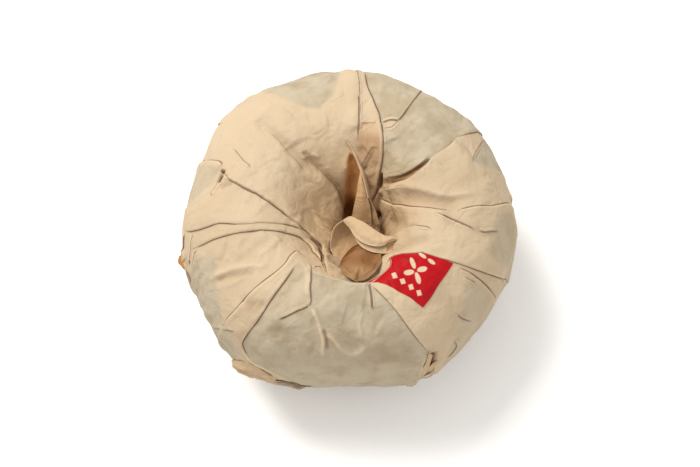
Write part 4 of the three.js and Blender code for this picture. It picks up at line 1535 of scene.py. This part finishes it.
@dataclass
class LoosePaper:
    """Sheets of the wrapper that stand clear of it: its twisted end, or the ends of its folds."""

    relief: PaperRelief
    material: bpy.types.Material
    sheets: list[LooseSheet]
    cell: float = 0.25
    paper: float = 0.18

    def build(self) -> None:
        """Makes every sheet."""
        for plan in self.sheets:
            self.sheet(plan)

    @staticmethod
    def creased(plan: LooseSheet, place: Array, size: tuple[float, float]) -> Array:
        """Height of a sheet's own creases.

        Args:
            plan: The sheet.
            place: Each vertex's shares of the sheet's width and of the way from root to free edge.
            size: Width and length of the sheet, in millimetres.

        Returns:
            Heights in millimetres.
        """
        total = np.zeros(len(place))
        for u0, v0, u1, v1, height, width in plan.creases:
            start, end = np.array([u0, v0]) * size, np.array([u1, v1]) * size
            run = end - start
            part = np.clip((place * size - start) @ run / (run @ run), 0.0, 1.0)
            distance = np.linalg.norm(place * size - start - part[:, None] * run, axis=1)
            total += height * np.exp(-((distance / width) ** 2))
        return total

    def sheet(self, plan: LooseSheet) -> None:
        """One sheet through rows of points.

        Args:
            plan: Its rows and tones.
        """
        controls = [np.array(row, float) for row in plan.rows]
        width = max(path_length(row) for row in controls)
        length = max(path_length(np.array([row[k] for row in controls])) for k in (0, -1))
        columns, count = int(width / self.cell), max(10, int(length / self.cell))
        smooth = np.array([catmull(row, columns + 1) for row in controls])
        grid = np.array([catmull(smooth[:, k], count + 1) for k in range(columns + 1)])
        normals = unit(np.cross(np.gradient(grid, axis=0), np.gradient(grid, axis=1)))
        piece, column, row = grid_sheet(plan.name, columns, count)
        points, normal = grid[column, row], normals[column, row]
        fine, share = self.relief.grains["fine"], row / count
        lift = plan.crinkle * (fine.at(points) + 0.7 * self.relief.crumple(points * 1.7) / 0.2)
        lift += self.creased(plan, np.stack([column / columns, share], axis=-1), (width, length))
        lay_vertices(piece, points + normal * lift[:, None])
        # uneven strength of the painted shade; line and deep are painted shade, glow painted light, edge a painted
        # highlight on the free edge, warm painted warm shade
        shade_unevenness = 1.0 + 0.5 * fine.at(points * 0.7)
        paint(
            piece,
            layers=np.ones(len(points)),
            line=plan.dark * shade_unevenness,
            glow=np.full(len(points), plan.glow),
            edge=plan.bright * np.exp(-(((1 - share) * count * self.cell / 0.3) ** 2)),
            warm=plan.warm[0] * (1 - share) + plan.warm[1] * share,
            deep=(plan.deep[0] * (1 - share) + plan.deep[1] * share) * shade_unevenness,
        )
        thicken(piece, self.paper)
        finish_piece(piece, self.material)


# ---- the seal ----


@dataclass
class Seal:
    """A square red stamp on the paper, with plain generic marks left bare."""

    relief: PaperRelief
    material: bpy.types.Material
    lower: Way = Way(((282.5, 3.06), (289, 2.99), (293.5, 2.94), (297, 2.87), (300, 2.8), (301.6, 2.73), (303, 2.67)))
    upper: Way = Way(((305, 3.31), (309.5, 3.31), (317.3, 3.14), (323.3, 2.95), (326.6, 2.75)))
    ragged: Way = Way(((282.5, 3.06), (287, 3.12), (292, 3.16), (297.5, 3.17), (302, 3.23), (305, 3.31)))
    right: Way = Way(((303, 2.67), (308.5, 2.7), (314, 2.73), (320, 2.74), (326.6, 2.75)))
    cells: int = 150
    lift: float = 0.16  # height over the skin
    paper: float = 0.08
    corners: tuple[Place, ...] = ((282, 3.02), (303, 2.67), (326.6, 2.75))  # left, near and far
    near_corner: float = 16.0  # its place along the lower edge
    length: float = 17.0  # of the lower edge
    stripe: tuple[float, float] = (0.9, 0.16)  # place along the lower edge, and half its width
    rosette: tuple[float, float] = (10.8, 6.2)
    petal: tuple[float, float, float] = (1.75, 1.25, 0.6)  # middle from the rosette's, half length, half width
    diamonds: tuple[float, float, float] = (6.8, 2.2, 2.3)  # place of the first one, and their pitch
    diamond: float = 0.8  # half its width
    leaves: tuple[float, float, float] = (5.6, 10.4, 2.6)  # place of the first one, and their pitch
    leaf: tuple[float, float] = (0.95, 0.42)  # half length, half width

    def build(self) -> None:
        """Makes the printed sheet."""
        form = self.relief.form
        piece, column, row = grid_sheet("seal_print", self.cells, self.cells)
        u, v = (index[:, None] / self.cells for index in (column, row))
        low, top, left, right = (
            way.sample(self.cells + 1) for way in (self.lower, self.upper, self.ragged, self.right)
        )
        corners = low[0] * (1 - u) * (1 - v) + low[-1] * u * (1 - v) + top[0] * (1 - u) * v + top[-1] * u * v
        b, s = (low[column] * (1 - v) + top[column] * v + left[row] * (1 - u) + right[row] * u - corners).T
        points = form.point(b, s)
        lift = self.relief.level(points, b, s) + self.lift
        lay_vertices(piece, points + form.normal(b, s) * lift[:, None])
        paint(piece, ink=self.ink(points, u[:, 0]))
        thicken(piece, self.paper)
        finish_piece(piece, self.material)

    def ink(self, points: Array, u: Array) -> Array:
        """1 where the stamp has printed and 0 on its marks.

        Args:
            points: Points of the sheet.
            u: Share along the lower edge.

        Returns:
            One value for each point.
        """
        left, near, far = self.relief.form.point(*np.array(self.corners).T)
        x = (points - near) @ unit(near - left) + self.near_corner
        y = (points - near) @ unit(far - near)
        wobble = 0.12 * self.relief.grains["fine"].at(points * 2.0)
        marks = np.abs(u * self.length - self.stripe[0] + 0.5 * wobble) / self.stripe[1] - 1.0
        across, up = x - self.rosette[0], y - self.rosette[1]
        middle, half_length, half_width = self.petal
        diamond_x, diamond_y, diamond_pitch = self.diamonds
        leaf_x, leaf_y, leaf_pitch = self.leaves
        for step in range(4):
            turn = math.pi / 2 * step + math.pi / 4
            px = across * math.cos(turn) + up * math.sin(turn)
            py = -across * math.sin(turn) + up * math.cos(turn)
            petal = np.hypot((px - middle) / half_length, py / half_width)
            diamond = (np.abs(x - diamond_x - diamond_pitch * step) + np.abs(y - diamond_y)) / self.diamond
            leaf = np.hypot((x - leaf_x - leaf_pitch * step) / self.leaf[0], (y - leaf_y) / self.leaf[1])
            marks = np.min([marks, petal - 1, diamond - 1, leaf - 1], axis=0)
        return smoothstep(marks + wobble, -0.08, 0.14)


# ---- the studio ----


@dataclass
class Studio:
    """Plain pale table, soft light and the camera."""

    elevation: float = 67.0
    distance: float = 560.0
    lens: float = 114.6
    aim: Point = (0.68, 0.5, 22.2)
    table_size: float = 6.0
    daylight: Colour = (1.0, 0.99, 0.975)
    lamplight: Colour = (1.0, 0.985, 0.96)
    world_strength: float = 0.84

    def build(self) -> None:
        """Makes the table, the lights, the world and the camera."""
        select_only()
        bpy.ops.mesh.primitive_plane_add(size=self.table_size)
        floor = bpy.context.object
        floor.name = "table_top"
        floor.data.materials.append(TableTop().build())
        self.light("key", (-0.5, 0.45, 1.0), 0.55, 16.0)
        self.light("fill", (0.6, -0.6, 0.8), 1.0, 3.0)
        world = bpy.data.worlds.new("studio")
        world.use_nodes = True
        world.node_tree.nodes["Background"].inputs["Color"].default_value = (*self.daylight, 1.0)
        world.node_tree.nodes["Background"].inputs["Strength"].default_value = self.world_strength
        bpy.context.scene.world = world
        bpy.context.scene.view_settings.view_transform = "Standard"
        self.camera()

    def light(self, name: str, place: Point, size: float, power: float) -> None:
        """A soft square light that looks at the pack.

        Args:
            name: Name of the lamp.
            place: Where it hangs, in metres.
            size: Its side, in metres.
            power: In watts.
        """
        bpy.ops.object.light_add(type="AREA", location=place)
        lamp = bpy.context.object
        lamp.name = name
        lamp.data.size, lamp.data.energy, lamp.data.color = size, power, self.lamplight
        flat = math.hypot(place[0], place[1])
        lamp.rotation_euler = (math.atan2(flat, place[2]), 0.0, math.atan2(place[1], place[0]) + math.pi / 2)

    def camera(self) -> None:
        """The camera, looking down at the pack from the front."""
        rise = math.radians(self.elevation)
        target = (np.array(self.aim) - np.array(BOX_MIDDLE)) * METRES
        back = np.array([0.0, -math.cos(rise), math.sin(rise)]) * self.distance * METRES
        bpy.ops.object.camera_add(location=tuple(target + back), rotation=(math.pi / 2 - rise, 0.0, 0.0))
        camera = bpy.context.object
        camera.name = "camera"
        camera.data.lens, camera.data.sensor_width = self.lens, 36.0
        camera.data.clip_start, camera.data.clip_end = 0.01, 20.0
        bpy.context.scene.camera = camera


def main() -> None:
    """Builds the studio and the pack."""
    logging.basicConfig(level=logging.INFO, format="%(name)s %(message)s")
    Studio().build()
    form = PackForm()
    relief = PaperRelief(form, FOLDS, RIDGES)
    paper = TissuePaper().build()
    Wrapper(relief, PaperTone(form, FIELDS), paper).build()
    LoosePaper(relief, paper, TWIST_SHEETS).build()
    LoosePaper(relief, paper, EDGE_SHEETS).build()
    Seal(relief, SealInk().build()).build()


if __name__ == "__main__":
    main()
